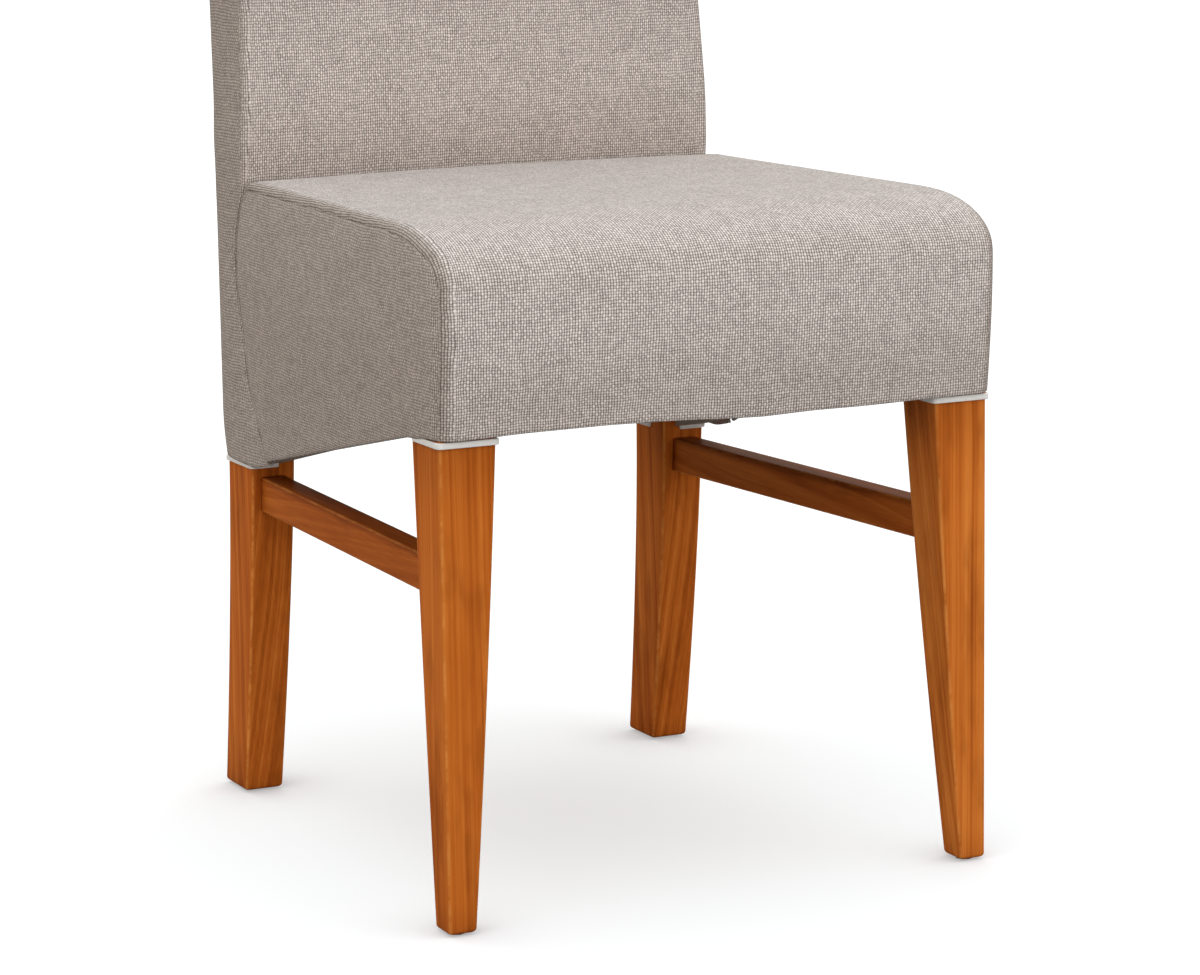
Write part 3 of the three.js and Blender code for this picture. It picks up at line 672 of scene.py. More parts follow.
def plain_weave_group() -> Tree:
    """Builds the group that weaves threads over and under each other.

    Returns:
        A group that takes cloth coordinates, counted in threads, and gives a Tone from 0 in the
        gaps to 1 on the lightest thread, with painted shade by height, and the threads' Height.
    """
    group, g, given, leave = new_group(
        "Plain weave", {"Threads": "NodeSocketVector"},
        {"Tone": "NodeSocketFloat", "Height": "NodeSocketFloat"})
    drift, drift_scale = 1.9, 0.07
    own_share, slub_share, fibre_share = 0.2, 0.5, 0.22
    narrowest, spread = 0.78, 0.25
    slub_step, slub_scale = 7.31, 0.07
    warp = {"sign": 1.0, "offset": 0.0, "swing": 0.62, "low": 0.38, "tone": 0.44}
    weft = {"sign": -1.0, "offset": 1.0, "swing": 0.72, "low": 0.2, "tone": 0.33}
    wander = g.node("ShaderNodeTexNoise", {"Vector": given[0], "Scale": drift_scale, "Detail": 3.0,
                                           "Roughness": 0.7})
    shift = g.node("ShaderNodeVectorMath", {0: wander.outputs[1], 1: (0.5, 0.5, 0.5)},
                   operation="SUBTRACT")
    moved = g.node("ShaderNodeVectorMath",
                   {0: shift.outputs[0], 1: (drift, drift, 0.0), 2: given[0]},
                   operation="MULTIPLY_ADD")
    a, b, _ = g.parts(moved.outputs[0])
    threads = []
    for across, along, way in ((a, b, warp), (b, a, weft)):
        number = g.math("FLOOR", across)
        inside = g.math("SUBTRACT", g.math("SUBTRACT", across, number), 0.5)
        turn = g.math("ADD", g.math("SUBTRACT", along, 0.5), number)
        turn = g.math("ADD", turn, way["offset"])
        over = g.math("MULTIPLY_ADD", g.math("COSINE", g.math("MULTIPLY", turn, math.pi)),
                      0.5, 0.5)
        float_number = g.math("FLOOR", g.math("MULTIPLY_ADD", turn, 0.5, 0.5))
        seed = g.vector(number, float_number, way["sign"])
        own = g.node("ShaderNodeTexWhiteNoise", {"Vector": seed}, noise_dimensions="3D").outputs[0]
        slub = g.noise(g.vector(g.math("MULTIPLY", number, slub_step),
                                g.math("MULTIPLY", along, slub_scale), 3.0 * way["sign"]),
                       1.0, 2.0, 0.6)
        width = g.math("MULTIPLY_ADD", own, spread, narrowest)
        edge = g.math("DIVIDE", g.math("MULTIPLY", inside, 2.0), width)
        below = g.math("SUBTRACT", 1.0, g.math("MULTIPLY", edge, edge))
        round_top = g.math("SQRT", g.math("MAXIMUM", below, 0.0))
        height = g.math("MULTIPLY", round_top,
                        g.math("MULTIPLY_ADD", over, way["swing"], way["low"]))
        tone = g.math("ADD", g.math("MULTIPLY", own, own_share),
                      g.math("MULTIPLY_ADD", slub, slub_share, way["tone"]))
        threads.append((height, tone))
    (high_a, tone_a), (high_b, tone_b) = threads
    shown = g.math("GREATER_THAN", high_a, high_b)
    height = g.math("MAXIMUM", high_a, high_b)
    tone = g.math("ADD", g.math("MULTIPLY", tone_a, shown),
                  g.math("MULTIPLY", tone_b, g.math("SUBTRACT", 1.0, shown)))
    fibre = g.noise(moved.outputs[0], 2.6, 3.0, 0.7)
    # Painted shade by height: darkest in the gaps between threads, full tone on their crowns.
    lit = g.math("MULTIPLY", g.ramp(height, 0.28, 0.97, 0.03, 1.0),
                 g.math("MULTIPLY_ADD", fibre, fibre_share, tone))
    g.feed(leave.inputs[0], lit)
    g.feed(leave.inputs[1], height)
    return group


def stitched_seam_group() -> Tree:
    """Builds the group that sinks a seam and sews a row of stitches beside it.

    Returns:
        A group that takes Distance from the seam and distance Along it, in metres, and gives
        Shade, from 0 to 1: painted shade in the groove and beside it, and the stitches' own dark,
        and a Height that falls into it.
    """
    group, g, given, leave = new_group(
        "Stitched seam", {"Distance": "NodeSocketFloat", "Along": "NodeSocketFloat"},
        {"Shade": "NodeSocketFloat", "Height": "NodeSocketFloat"})
    distance, along = given[0], given[1]
    groove_width, shadow_width = 0.0022, 0.009
    row_gap, row_half, row_fade = 0.0032, 0.0003, 0.0009
    stitch_pitch, wobble_reach = 0.0042, 0.0008
    wobble = g.noise(g.vector(along, distance, 0.0), 90.0, 2.0)
    away = g.math("MULTIPLY_ADD", g.math("SUBTRACT", wobble, 0.5), wobble_reach, distance)
    groove = g.ramp(away, 0.0, groove_width, 1.0, 0.0)
    thread = g.math("FRACT", g.math("MULTIPLY", along, 1.0 / stitch_pitch))
    dash = g.math("MULTIPLY", g.ramp(thread, 0.08, 0.2), g.ramp(thread, 0.72, 0.84, 1.0, 0.0))
    row = g.ramp(g.math("ABSOLUTE", g.math("SUBTRACT", away, row_gap)), row_half, row_fade,
                 1.0, 0.0)
    stitch = g.math("MULTIPLY", row, dash)
    soft = g.ramp(away, 0.0, shadow_width, 1.0, 0.0)
    # Painted shade in the groove and in a soft band beside it; the stitches' darkness is the
    # thread's own.
    shade = g.math("ADD", g.math("MULTIPLY", groove, 0.75),
                   g.math("ADD", g.math("MULTIPLY", stitch, 0.22), g.math("MULTIPLY", soft, 0.12)),
                   clamp=True)
    height = g.math("SUBTRACT", g.math("MULTIPLY", stitch, 0.25),
                    g.math("ADD", groove, g.math("MULTIPLY", soft, 0.7)))
    g.feed(leave.inputs[0], shade)
    g.feed(leave.inputs[1], height)
    return group


def wood_grain_group() -> Tree:
    """Builds the group that lays straight grain, figure and pores along z.

    Returns:
        A group that takes a position in metres, with the grain along z, and gives Tone from 0 in
        the dark lines to 1 in the light wood, Pores from 0 to 1 and a Height.
    """
    group, g, given, leave = new_group(
        "Wood grain", {"Position": "NodeSocketVector"},
        {"Tone": "NodeSocketFloat", "Pores": "NodeSocketFloat", "Height": "NodeSocketFloat"})
    place = given[0]
    bend_scale, streak_scale = (18.0, 18.0, 3.2), (420.0, 420.0, 5.0)
    fibre_scale, cloud_scale = (1500.0, 1500.0, 22.0), (14.0, 14.0, 6.0)
    ring_scale, ring_bend, ring_turn, ring_length = 210.0, 0.013, 0.55, 0.7
    ring_share, streak_share, cloud_share, darker = 0.42, 0.42, 0.62, -0.14
    bend = g.noise(g.scaled(place, bend_scale), 1.0, 2.0)
    x, y, z = g.parts(place)
    turned = g.math("MULTIPLY_ADD", y, ring_turn, x)
    rings = g.math("MULTIPLY_ADD", g.math("SUBTRACT", bend, 0.5), ring_bend, turned)
    bands = g.noise(g.vector(g.math("MULTIPLY", rings, ring_scale), 0.0,
                             g.math("MULTIPLY", z, ring_length)), 1.0, 3.0, 0.68)
    streaks = g.noise(g.scaled(place, streak_scale), 1.0, 3.0, 0.65)
    fibres = g.noise(g.scaled(place, fibre_scale), 1.0, 2.0, 0.6)
    cloud = g.noise(g.scaled(place, cloud_scale), 1.0, 2.0)
    tone = g.math("ADD", g.math("MULTIPLY", g.ramp(bands, 0.3, 0.72), ring_share),
                  g.math("ADD", g.math("MULTIPLY", streaks, streak_share),
                         g.math("MULTIPLY_ADD", cloud, cloud_share, darker)))
    pores = g.ramp(fibres, 0.62, 0.78)
    height = g.math("SUBTRACT", g.math("MULTIPLY", streaks, 0.5), pores)
    g.feed(leave.inputs[0], tone)
    g.feed(leave.inputs[1], pores)
    g.feed(leave.inputs[2], height)
    return group


# Finishes

def rgba(colour: Colour) -> tuple[float, float, float, float]:
    """A colour with full alpha."""
    return (*colour, 1.0)


@dataclass(frozen=True)
class Finish:
    """What every finish has: a name and the settings that are the same all over it.

    Attributes:
        name: The material's name.
        roughness: Surface roughness.
    """

    name: str
    roughness: float = 0.8

    def material(self) -> Material:
        """Builds the material.

        Returns:
            The new material.
        """
        made = bpy.data.materials.new(self.name)
        made.use_nodes = True
        shader = made.node_tree.nodes["Principled BSDF"]
        shader.inputs["Roughness"].default_value = self.roughness
        self.paint(Graph(made.node_tree), shader)
        return made

    def paint(self, g: Graph, shader: Node) -> None:
        """Adds this finish's nodes to the shader."""
        raise NotImplementedError

    @staticmethod
    def raise_bump(g: Graph, shader: Node, height: Socket, depth: float) -> None:
        """Feeds a height, in units of depth metres, to the shader's normal."""
        bump = g.node("ShaderNodeBump", {"Strength": 1.0, "Distance": depth, "Height": height})
        g.feed(shader.inputs["Normal"], bump.outputs[0])


@dataclass(frozen=True)
class WovenCloth(Finish):
    """A plain weave of slubbed threads.

    Attributes:
        dark: Colour in the gaps between the threads, painted shade there, and of the painted shade
            in the seams.
        light: Colour of the lightest thread.
        painted_shade: What the colour is multiplied by for painted shade, where the cloth is turned
            from the light.
        pitch: Distance between the threads in metres, across and along.
        relief: Height of the weave in metres.
        mottle: How much the tone varies in patches.
        patches: Patches per metre.
        seam_shade: How dark the painted shade in the seams is.
        seam_depth: How deep they are, in units of the relief.
    """

    dark: Colour = (0.205, 0.175, 0.161)
    light: Colour = (0.95, 0.865, 0.83)
    painted_shade: Colour = (0.665, 0.64, 0.61)
    pitch: tuple[float, float] = (0.00205, 0.0021)
    relief: float = 0.0003
    mottle: float = 0.16
    patches: float = 30.0
    seam_shade: float = 0.6
    seam_depth: float = 3.0

    def paint(self, g: Graph, shader: Node) -> None:
        """Weaves the cloth, paints shade on its turned and lower parts and in its seams, and
        mottles it.

        Args:
            g: The material's graph.
            shader: Its Principled node.
        """
        spread = (1.0 / self.pitch[0], 1.0 / self.pitch[1], 1.0)
        threads = g.scaled(g.uv("weave"), spread)
        weave = g.group("Plain weave", plain_weave_group, threads)
        distance, along, _ = g.parts(g.uv("seam"))
        seam = g.group("Stitched seam", stitched_seam_group, distance, along)
        cloud = g.noise(g.uv("weave"), self.patches, 3.0, 0.6)
        tone = g.math("MULTIPLY_ADD", g.math("SUBTRACT", cloud, 0.5), self.mottle,
                      weave.outputs[0])
        colour = g.mix(g.ramp(tone, 0.0, 1.05), rgba(self.dark), rgba(self.light))
        shade, strong, _ = g.parts(g.uv("tone"))
        # Painted shade in the seams: the colour is drawn to the dark colour there.
        deep = g.math("MULTIPLY", g.math("MULTIPLY", seam.outputs[0], strong),
                      self.seam_shade)
        sewn = g.mix(deep, colour, rgba(self.dark))
        # Painted shade: the colour is multiplied by the shade colour as far as the tone's first
        # part says.
        turned = g.mix(shade, sewn, rgba(self.painted_shade), "MULTIPLY")
        g.feed(shader.inputs["Base Color"], turned)
        shader.inputs["Specular IOR Level"].default_value = 0.1
        sunk = g.math("MULTIPLY", seam.outputs[1], g.math("MULTIPLY", strong, self.seam_depth))
        height = g.math("ADD", sunk, weave.outputs[1])
        self.raise_bump(g, shader, height, self.relief)


@dataclass(frozen=True)
class StainedWood(Finish):
    """Stained hardwood with its grain along z, or along y where it is turned.

    Attributes:
        dark: Colour of the dark grain.
        middle: Colour of most of the wood.
        light: Colour of the light grain.
        bare: Colour of the worn edges.
        darkening: What the colour is multiplied by in blotches, and as painted shade under the seat
            and on the stretchers, and towards the feet.
        sheen: Colour of the highlights.
        stops: Where the dark, middle and light colours lie on the grain's tone.
        turn: Whether the grain runs along y, as in a stretcher.
        offset: Where in the tree this piece was cut, so that no two look alike.
        relief: Height of the grain in metres.
    """

    roughness: float = 0.36
    dark: Colour = (0.30, 0.062, 0.007)
    middle: Colour = (0.53, 0.13, 0.017)
    light: Colour = (0.72, 0.22, 0.036)
    bare: Colour = (0.84, 0.34, 0.085)
    darkening: Colour = (0.52, 0.46, 0.4)
    sheen: Colour = (1.0, 0.62, 0.3)
    stops: tuple[float, float, float] = (0.22, 0.55, 0.95)
    turn: bool = False
    offset: tuple[float, float, float] = (0.0, 0.0, 0.0)
    relief: float = 0.0001

    def paint(self, g: Graph, shader: Node) -> None:
        """Grows the grain and wears the edges.

        Args:
            g: The material's graph.
            shader: Its Principled node.
        """
        place = g.node("ShaderNodeTexCoord").outputs["Object"]
        if self.turn:
            x, y, z = g.parts(place)
            place = g.vector(x, z, y)
        moved = g.node("ShaderNodeVectorMath", {0: place, 1: self.offset}, operation="ADD")
        grain = g.group("Wood grain", wood_grain_group, moved.outputs[0])
        ramp = g.node("ShaderNodeValToRGB")
        stops = ramp.color_ramp.elements
        stops[0].position, stops[0].color = self.stops[0], rgba(self.dark)
        stops[1].position, stops[1].color = self.stops[2], rgba(self.light)
        middle = stops.new(self.stops[1])
        middle.color = rgba(self.middle)
        g.feed(ramp.inputs[0], grain.outputs[0])
        colour = g.mix(g.math("MULTIPLY", grain.outputs[1], 0.45), ramp.outputs[0],
                       rgba(self.dark))
        # Painted shade: the tone's second part darkens the wood under the seat and on the
        # stretchers, and towards the feet; blotches are the wood's own.
        edge, darkening, _ = g.parts(g.uv("tone"))
        rub_scale, blotch_scale = 60.0, (34.0, 34.0, 9.0)
        rub = g.noise(moved.outputs[0], rub_scale, 3.0, 0.7)
        wear = g.math("MULTIPLY", edge, g.ramp(rub, 0.36, 0.64, 0.1, 0.62))
        worn = g.mix(wear, colour, rgba(self.bare))
        blotch = g.ramp(g.noise(g.scaled(moved.outputs[0], blotch_scale), 1.0, 3.0, 0.7),
                        0.46, 0.72, 0.0, 0.55)
        deep = g.math("ADD", blotch, darkening, clamp=True)
        stained = g.mix(deep, worn, rgba(self.darkening), "MULTIPLY")
        g.feed(shader.inputs["Base Color"], stained)
        g.feed(shader.inputs["Roughness"], g.math("MULTIPLY_ADD", grain.outputs[1], 0.25,
                                                  self.roughness))
        shader.inputs["Specular IOR Level"].default_value = 0.015
        shader.inputs["Specular Tint"].default_value = rgba(self.sheen)
        self.raise_bump(g, shader, grain.outputs[2], self.relief)


@dataclass(frozen=True)
class Mottled(Finish):
    """A plain material with mottled colour and a fine grain, for pieces that hardly show.

    Attributes:
        colour: The material's colour.
        other: The colour that it is mottled with.
        scale: Patches per metre.
        relief: Height of the grain in metres.
        metallic: 1 for metal.
    """

    colour: Colour = (0.5, 0.5, 0.5)
    other: Colour = (0.4, 0.4, 0.4)
    scale: float = 200.0
    relief: float = 0.0001
    metallic: float = 0.0

    def paint(self, g: Graph, shader: Node) -> None:
        """Mottles the colour and raises the grain.

        Args:
            g: The material's graph.
            shader: Its Principled node.
        """
        place = g.node("ShaderNodeTexCoord").outputs["Object"]
        coarser, finer = 0.2, 4.0
        coarse = g.noise(place, self.scale * coarser, 3.0, 0.6)
        fine = g.noise(place, self.scale * finer, 2.0, 0.6)
        g.feed(shader.inputs["Base Color"], g.mix(coarse, rgba(self.colour), rgba(self.other)))
        shader.inputs["Metallic"].default_value = self.metallic
        self.raise_bump(g, shader, fine, self.relief)


# Wooden pieces

def end_widths(count: int, inner: float = 0.5) -> Array:
    """Shares of a bar's width at its stations, falling to nothing at both ends.

    Args:
        count: How many stations the bar has.
        inner: The share at the station next to each end, halfway over the cap.

    Returns:
        One share for each station.
    """
    width = np.ones(count)
    width[[0, -1]], width[[1, -2]] = 0.0, inner
    return width


def ring_pattern(corner_steps: int, side_steps: int) -> tuple[Array, Array, Array]:
    """Points round a rounded rectangle, as shares of its size.

    Args:
        corner_steps: Cells in each rounded corner.
        side_steps: Cells on each side.

    Returns:
        Each point's share of the half size, its share of the corner radius, and how near it
        lies to the middle of a corner, from 0 to 1.
    """
    signs, offsets, edges = [], [], []
    corners = [(1, 1), (-1, 1), (-1, -1), (1, -1)]
    for number, corner in enumerate(corners):
        angles = RIGHT_ANGLE * (number + np.linspace(0.0, 1.0, corner_steps + 1))
        signs.append(np.tile(corner, (corner_steps + 1, 1)).astype(float))
        offsets.append(np.stack([np.cos(angles), np.sin(angles)], axis=1))
        edges.append(np.sin(2 * (angles - RIGHT_ANGLE * number)))
        share = np.linspace(0.0, 1.0, side_steps + 1)[1:-1, None]
        following = np.asarray(corners[(number + 1) % 4], float)
        signs.append(np.asarray(corner, float) + (following - corner) * share)
        offsets.append(np.tile(offsets[-1][-1], (side_steps - 1, 1)))
        edges.append(np.zeros(side_steps - 1))
    return np.vstack(signs), np.vstack(offsets), np.concatenate(edges)


def rounded_bar(low: Array, high: Array, radius: Array, along: Array,
                corner_steps: int = 4, side_steps: int = 6) -> Patch:
    """Sweeps a rounded rectangle along a bar.

    Args:
        low: Lowest corner of the section at each station, stations by 2.
        high: Highest corner of the section at each station, stations by 2.
        radius: Corner radius at each station.
        along: Place along the bar at each station and ring point, stations by 1 or by points.
        corner_steps: Cells in each rounded corner.
        side_steps: Cells on each side.

    Returns:
        A ring patch with coordinates (first, second, along) and the edges in its tone.
    """
    signs, offsets, edges = ring_pattern(corner_steps, side_steps)
    centre = (low + high)[:, None, :] / 2
    half = (high - low)[:, None, :] / 2
    round_off = radius[:, None, None]
    section = centre + signs * np.maximum(half - round_off, 0.0) + offsets * round_off
    place = np.broadcast_to(along, section.shape[:2])[..., None]
    points = np.concatenate([section, place], axis=-1)
    tone = np.zeros(section.shape)
    tone[..., 0] = edges
    return Patch(points, np.zeros(section.shape), tone=tone)


def capped(levels: Array, foot_round: float, top_round: float, steps: int = 4) -> tuple:
    """Adds rounded ends and caps to the levels of an upright bar.

    Args:
        levels: The bar's levels, lowest first.
        foot_round: Radius of the rounding at the foot.
        top_round: Radius of the rounding at the top.
        steps: Cells in each rounding.

    Returns:
        The levels with ends added, how far each is drawn in, and each one's share of the width.
    """
    angles = np.linspace(0.0, RIGHT_ANGLE, steps + 1)
    foot_in = foot_round * (1 - np.sin(angles))
    foot_z = levels[0] + foot_round * (1 - np.cos(angles))
    top_in = top_round * (1 - np.cos(angles))
    top_z = levels[-1] - top_round * (1 - np.sin(angles))
    inner = levels[(levels > foot_z[-1] + 1) & (levels < top_z[0] - 1)]
    z = np.concatenate([[levels[0]] * 2, foot_z, inner, top_z, [levels[-1]] * 2])
    drawn = np.concatenate([[foot_in[0]] * 2, foot_in, inner * 0, top_in, [top_in[-1]] * 2])
    return z, drawn, end_widths(len(z))


class Side(Enum):
    """Which side of the chair a piece is on."""

    LEFT = -1
    RIGHT = 1


@dataclass
class Leg:
    """One leg, or one leg and the post above it.

    Attributes:
        side: The side that it is on.
        node: The CAD node that it stands for.
        top: Its highest level.
        edge: Radius of its long edges.
        foot: Radius of the rounding at the foot.
        step: Height of each row of cells.
        under_seat_shade: How much painted shade falls under the seat, and between which levels it
            fades.
        foot_darkening: How much darker it is at the foot, and between which levels it fades.
    """

    side: Side
    node: str
    top: float
    edge: float = 2.2
    foot: float = 3.0
    step: float = 6.0
    under_seat_shade: tuple[float, float, float] = (0.35, 290.0, 345.0)
    foot_darkening: tuple[float, float, float] = (0.3, 2.0, 30.0)
    sizes: ChairSizes = field(default_factory=lambda: SIZES)

    def section(self, z: Array) -> tuple[Array, Array, Array, Array]:
        """Inner x, outer x, front y and rear y at each level, on the right of the chair."""
        raise NotImplementedError

    def patch(self) -> Patch:
        """Builds the leg's surface on its side of the chair.

        Returns:
            The surface, its columns a ring.
        """
        levels = np.arange(self.sizes.foot_level, self.top, self.step)
        levels = np.concatenate([levels, [self.top]])
        z, drawn, width = capped(levels, self.foot, self.edge)
        inner, outer, front, rear = self.section(z)
        middle = np.stack([(inner + outer) / 2, (front + rear) / 2], axis=1)
        half = np.stack([(outer - inner) / 2, (rear - front) / 2], axis=1)
        least = 0.1
        half = np.maximum(half - drawn[:, None], least) * width[:, None]
        radius = np.minimum(self.edge, half.min(axis=1))
        made = rounded_bar(middle - half, middle + half, radius, z[:, None])
        # Painted shade under the seat, and darker towards the foot.
        darkening = (self.under_seat_shade[0] * smoothstep(*self.under_seat_shade[1:], z)
                 + self.foot_darkening[0] * (1.0 - smoothstep(*self.foot_darkening[1:], z)))
        made.tone[..., 1] = darkening[:, None]
        return made.mirrored() if self.side is Side.LEFT else made

    def build(self, front: float, finish: Material) -> Piece:
        """Makes the leg, finished and riding on the chair.

        Args:
            front: The frame's y at the chair's front, in metres.
            finish: Its material.

        Returns:
            The leg.
        """
        piece = MeshMaker(self.node + "_wood").add(self.patch(), ring=True).build(front)
        piece.data.materials.append(finish)
        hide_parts(self.node)
        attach(piece, "root")
        return piece


def front_leg_size(z: Array) -> tuple[Array, Array]:
    """Width and depth of a front leg: s + k s (1 - s) of the way up, at a share s of its height.

    Args:
        z: Heights above the floor.

    Returns:
        The widths and the depths.
    """
    share = np.clip(z / SIZES.leg_clear, 0.0, 1.0)
    taper = share + SIZES.leg_swell * share * (1 - share)
    foot, top = SIZES.front_foot, SIZES.front_leg
    return foot[0] + (top[0] - foot[0]) * taper, foot[1] + (top[1] - foot[1]) * taper


@dataclass
class FrontLeg(Leg):
    """A front leg: plumb outside and in front, tapered on its inner and rear faces."""

    def section(self, z: Array) -> tuple[Array, Array, Array, Array]:
        """Its outer and front faces stand plumb, and the other two follow its size.

        Args:
            z: Heights above the floor.

        Returns:
            Inner x, outer x, front y and rear y.
        """
        width, depth = front_leg_size(z)
        outer = np.full_like(z, self.sizes.front_width / 2)
        return outer - width, outer, np.zeros_like(z), depth


def post_rear(z: Array) -> Array:
    """Rear face of the rear leg and its post, in y."""
    low = np.clip(z / SIZES.rear_hem, 0.0, 1.0)
    return SIZES.post_rear + SIZES.rear_splay * (1 - low) ** SIZES.splay_power + SIZES.rake(z)


def post_front(z: Array) -> Array:
    """Front face of the rear leg and its post, in y.

    Args:
        z: Heights above the floor.

    Returns:
        Its y at each height.
    """
    low = np.clip(z / SIZES.rear_hem, 0.0, 1.0)
    up = np.clip((z - SIZES.rail_top) / SIZES.post_run, 0.0, 1.0)
    foot, top = SIZES.rear_foot[1], SIZES.rear_leg[1]
    depth = np.where(z < SIZES.rear_hem, foot + (top - foot) * low,
                     top + (SIZES.post_depth - top) * up)
    begin = SIZES.rail_top + SIZES.post_run
    thinner = SIZES.post_thinner * np.maximum(z - begin, 0.0) / (SIZES.post_top - begin)
    return post_rear(z) - depth + thinner


@dataclass
class RearLeg(Leg):
    """A rear leg with its post, swept to the rear at the foot and raked above the seat."""

    def section(self, z: Array) -> tuple[Array, Array, Array, Array]:
        """The section that the frame's formulas give at each level.

        Args:
            z: Heights above the floor.

        Returns:
            Inner x, outer x, front y and rear y.
        """
        sizes = self.sizes
        outer = sizes.rear_width / 2 - sizes.lean(z)
        low = np.minimum(z / sizes.rear_hem, 1.0)
        foot, top = sizes.rear_foot[0], sizes.rear_leg[0]
        share = np.maximum(z - sizes.rail_top, 0.0) / (sizes.post_top - sizes.rail_top)
        width = foot + (top - foot) * low - sizes.post_narrower * share
        return outer - width, outer, post_front(z), post_rear(z)


@dataclass
class Stretcher:
    """The rail between the front and the rear leg on one side.

    Attributes:
        side: The side that it is on.
        top: Height of its top at the rear.
        rise: How much higher its top is in front.
        height: Its height.
        thickness: Its thickness.
        front_x: Outer face at the front leg.
        rear_x: Outer face at the rear leg.
        edge: Radius of its long edges.
        steps: Stations along it.
        gap: Gap between its ends and the legs.
        darkening: How much painted shade falls on its top, under the seat, and on its ends by the
            legs.
    """

    side: Side
    top: float = 260.5
    rise: float = 3.0
    height: float = 27.5
    thickness: float = 20.0
    front_x: float = 209.5
    rear_x: float = 189.5
    edge: float = 1.8
    steps: int = 50
    gap: float = 0.05
    darkening: tuple[float, float] = (0.8, 0.5)

    def build(self, front: float, finish: Material) -> Piece:
        """Makes the stretcher: straight from leg to leg, its ends following their faces.

        Args:
            front: The frame's y at the chair's front, in metres.
            finish: Its material.

        Returns:
            The stretcher.
        """
        share = np.linspace(0.0, 1.0, self.steps)
        stations = np.concatenate([[0.0, 0.0], share, [1.0, 1.0]])
        width = end_widths(len(stations))
        outer = self.front_x + (self.rear_x - self.front_x) * stations
        top = self.top + self.rise * (1 - stations)
        middle = np.stack([outer - self.thickness / 2, top - self.height / 2], axis=1)
        half = np.array([self.thickness, self.height]) / 2 * width[:, None]
        radius = np.minimum(self.edge, half.min(axis=1))
        made = rounded_bar(middle - half, middle + half, radius, stations[:, None])
        level = made.points[..., 1].copy()
        begin, end = front_leg_size(level)[1] + self.gap, post_front(level) - self.gap
        made.points[..., 1] = begin + (end - begin) * made.points[..., 2]
        made.points[..., 2] = level
        # Painted shade on the top face under the seat, and on the ends where they meet the legs.
        fade, below, reach = 0.1, 1.4 * self.edge, 0.05
        upper = smoothstep(-fade, fade, level - top[:, None] + below)
        ends = np.minimum(stations, 1.0 - stations)[:, None]
        made.tone[..., 1] = np.maximum(self.darkening[0] * upper,
                                       self.darkening[1] * smoothstep(-reach, 0.0, -ends))
        if self.side is Side.LEFT:
            made = made.mirrored()
        node = "side_stretcher_" + self.side.name.lower()
        piece = MeshMaker(node + "_wood").add(made, ring=True).build(front)
        piece.data.materials.append(finish)
        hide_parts(node)
        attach(piece, "root")
        return piece


@dataclass
class LegTape:
    """The narrow white tape that edges the cloth round the top of one leg.

    Attributes:
        node: The CAD node that it stands for.
        side: The side that it is on.
        corners: Its path over the leg in plan, on the right of the chair.
        level: Its lowest level.
        height: Its width, which stands upright.
        thickness: Its thickness.
        turn: Radius of its path at each corner.
        edge: Radius of its long edges.
        steps: Stations along it.
        ripple: Height and tightness of the small waves along it.
    """

    node: str
    side: Side
    corners: list[tuple[float, float]]
    level: float
    height: float = 4.5
    thickness: float = 1.9
    turn: float = 3.4
    edge: float = 0.7
    steps: int = 90
    ripple: tuple[float, float] = (0.12, 0.9)

    def path(self) -> Array:
        """The tape's middle line in plan, with its corners rounded by quadratic curves.

        Returns:
            Points at equal steps along it.
        """
        corners = np.asarray(self.corners, float)
        pieces = [corners[:1]]
        for before, corner, after in zip(corners, corners[1:], corners[2:]):
            back = (before - corner) / np.linalg.norm(before - corner)
            ahead = (after - corner) / np.linalg.norm(after - corner)
            t = np.linspace(0.0, 1.0, 9)[:, None]
            start, end = corner + back * self.turn, corner + ahead * self.turn
            pieces.append(start * (1 - t) ** 2 + 2 * corner * t * (1 - t) + end * t ** 2)
        pieces.append(corners[-1:])
        return resample(np.vstack(pieces), self.steps)

    def build(self, front: float, finish: Material) -> Piece:
        """Makes the tape by moving a rounded section along its path.

        Args:
            front: The frame's y at the chair's front, in metres.
            finish: Its material.

        Returns:
            The tape.
        """
        line = self.path()
        tangent = np.gradient(line, axis=0)
        tangent /= np.linalg.norm(tangent, axis=1, keepdims=True)
        away = np.stack([tangent[:, 1], -tangent[:, 0]], axis=1)
        signs, offsets, _ = ring_pattern(3, 3)
        size = np.array([self.thickness, self.height]) / 2
        section = signs * (size - self.edge) + offsets * self.edge
        order = np.concatenate([[0, 0], np.arange(len(line)), [len(line) - 1] * 2])
        width = end_widths(len(order), 0.55)
        width[[2, -3]] = 0.92
        shape = section[None] * width[:, None, None]
        along = arc_lengths(line)[order][:, None]
        wave = self.ripple[0] * np.sin(along * self.ripple[1])
        plan = line[order][:, None] + away[order][:, None] * (shape[..., :1] + wave[..., None])
        z = self.level + self.height / 2 + shape[..., 1]
        points = np.concatenate([plan, z[..., None]], axis=-1)
        along = np.broadcast_to(along, z.shape)
        weave = np.stack([along, section[:, 1] + section[:, 0] + 0 * z], axis=-1) * MM
        made = Patch(points, weave)
        if self.side is Side.LEFT:
            made = made.mirrored()
        piece = MeshMaker(self.node + "_band").add(made, ring=True).build(front)
        piece.data.materials.append(finish)
        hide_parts(self.node)
        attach(piece, "root")
        return piece


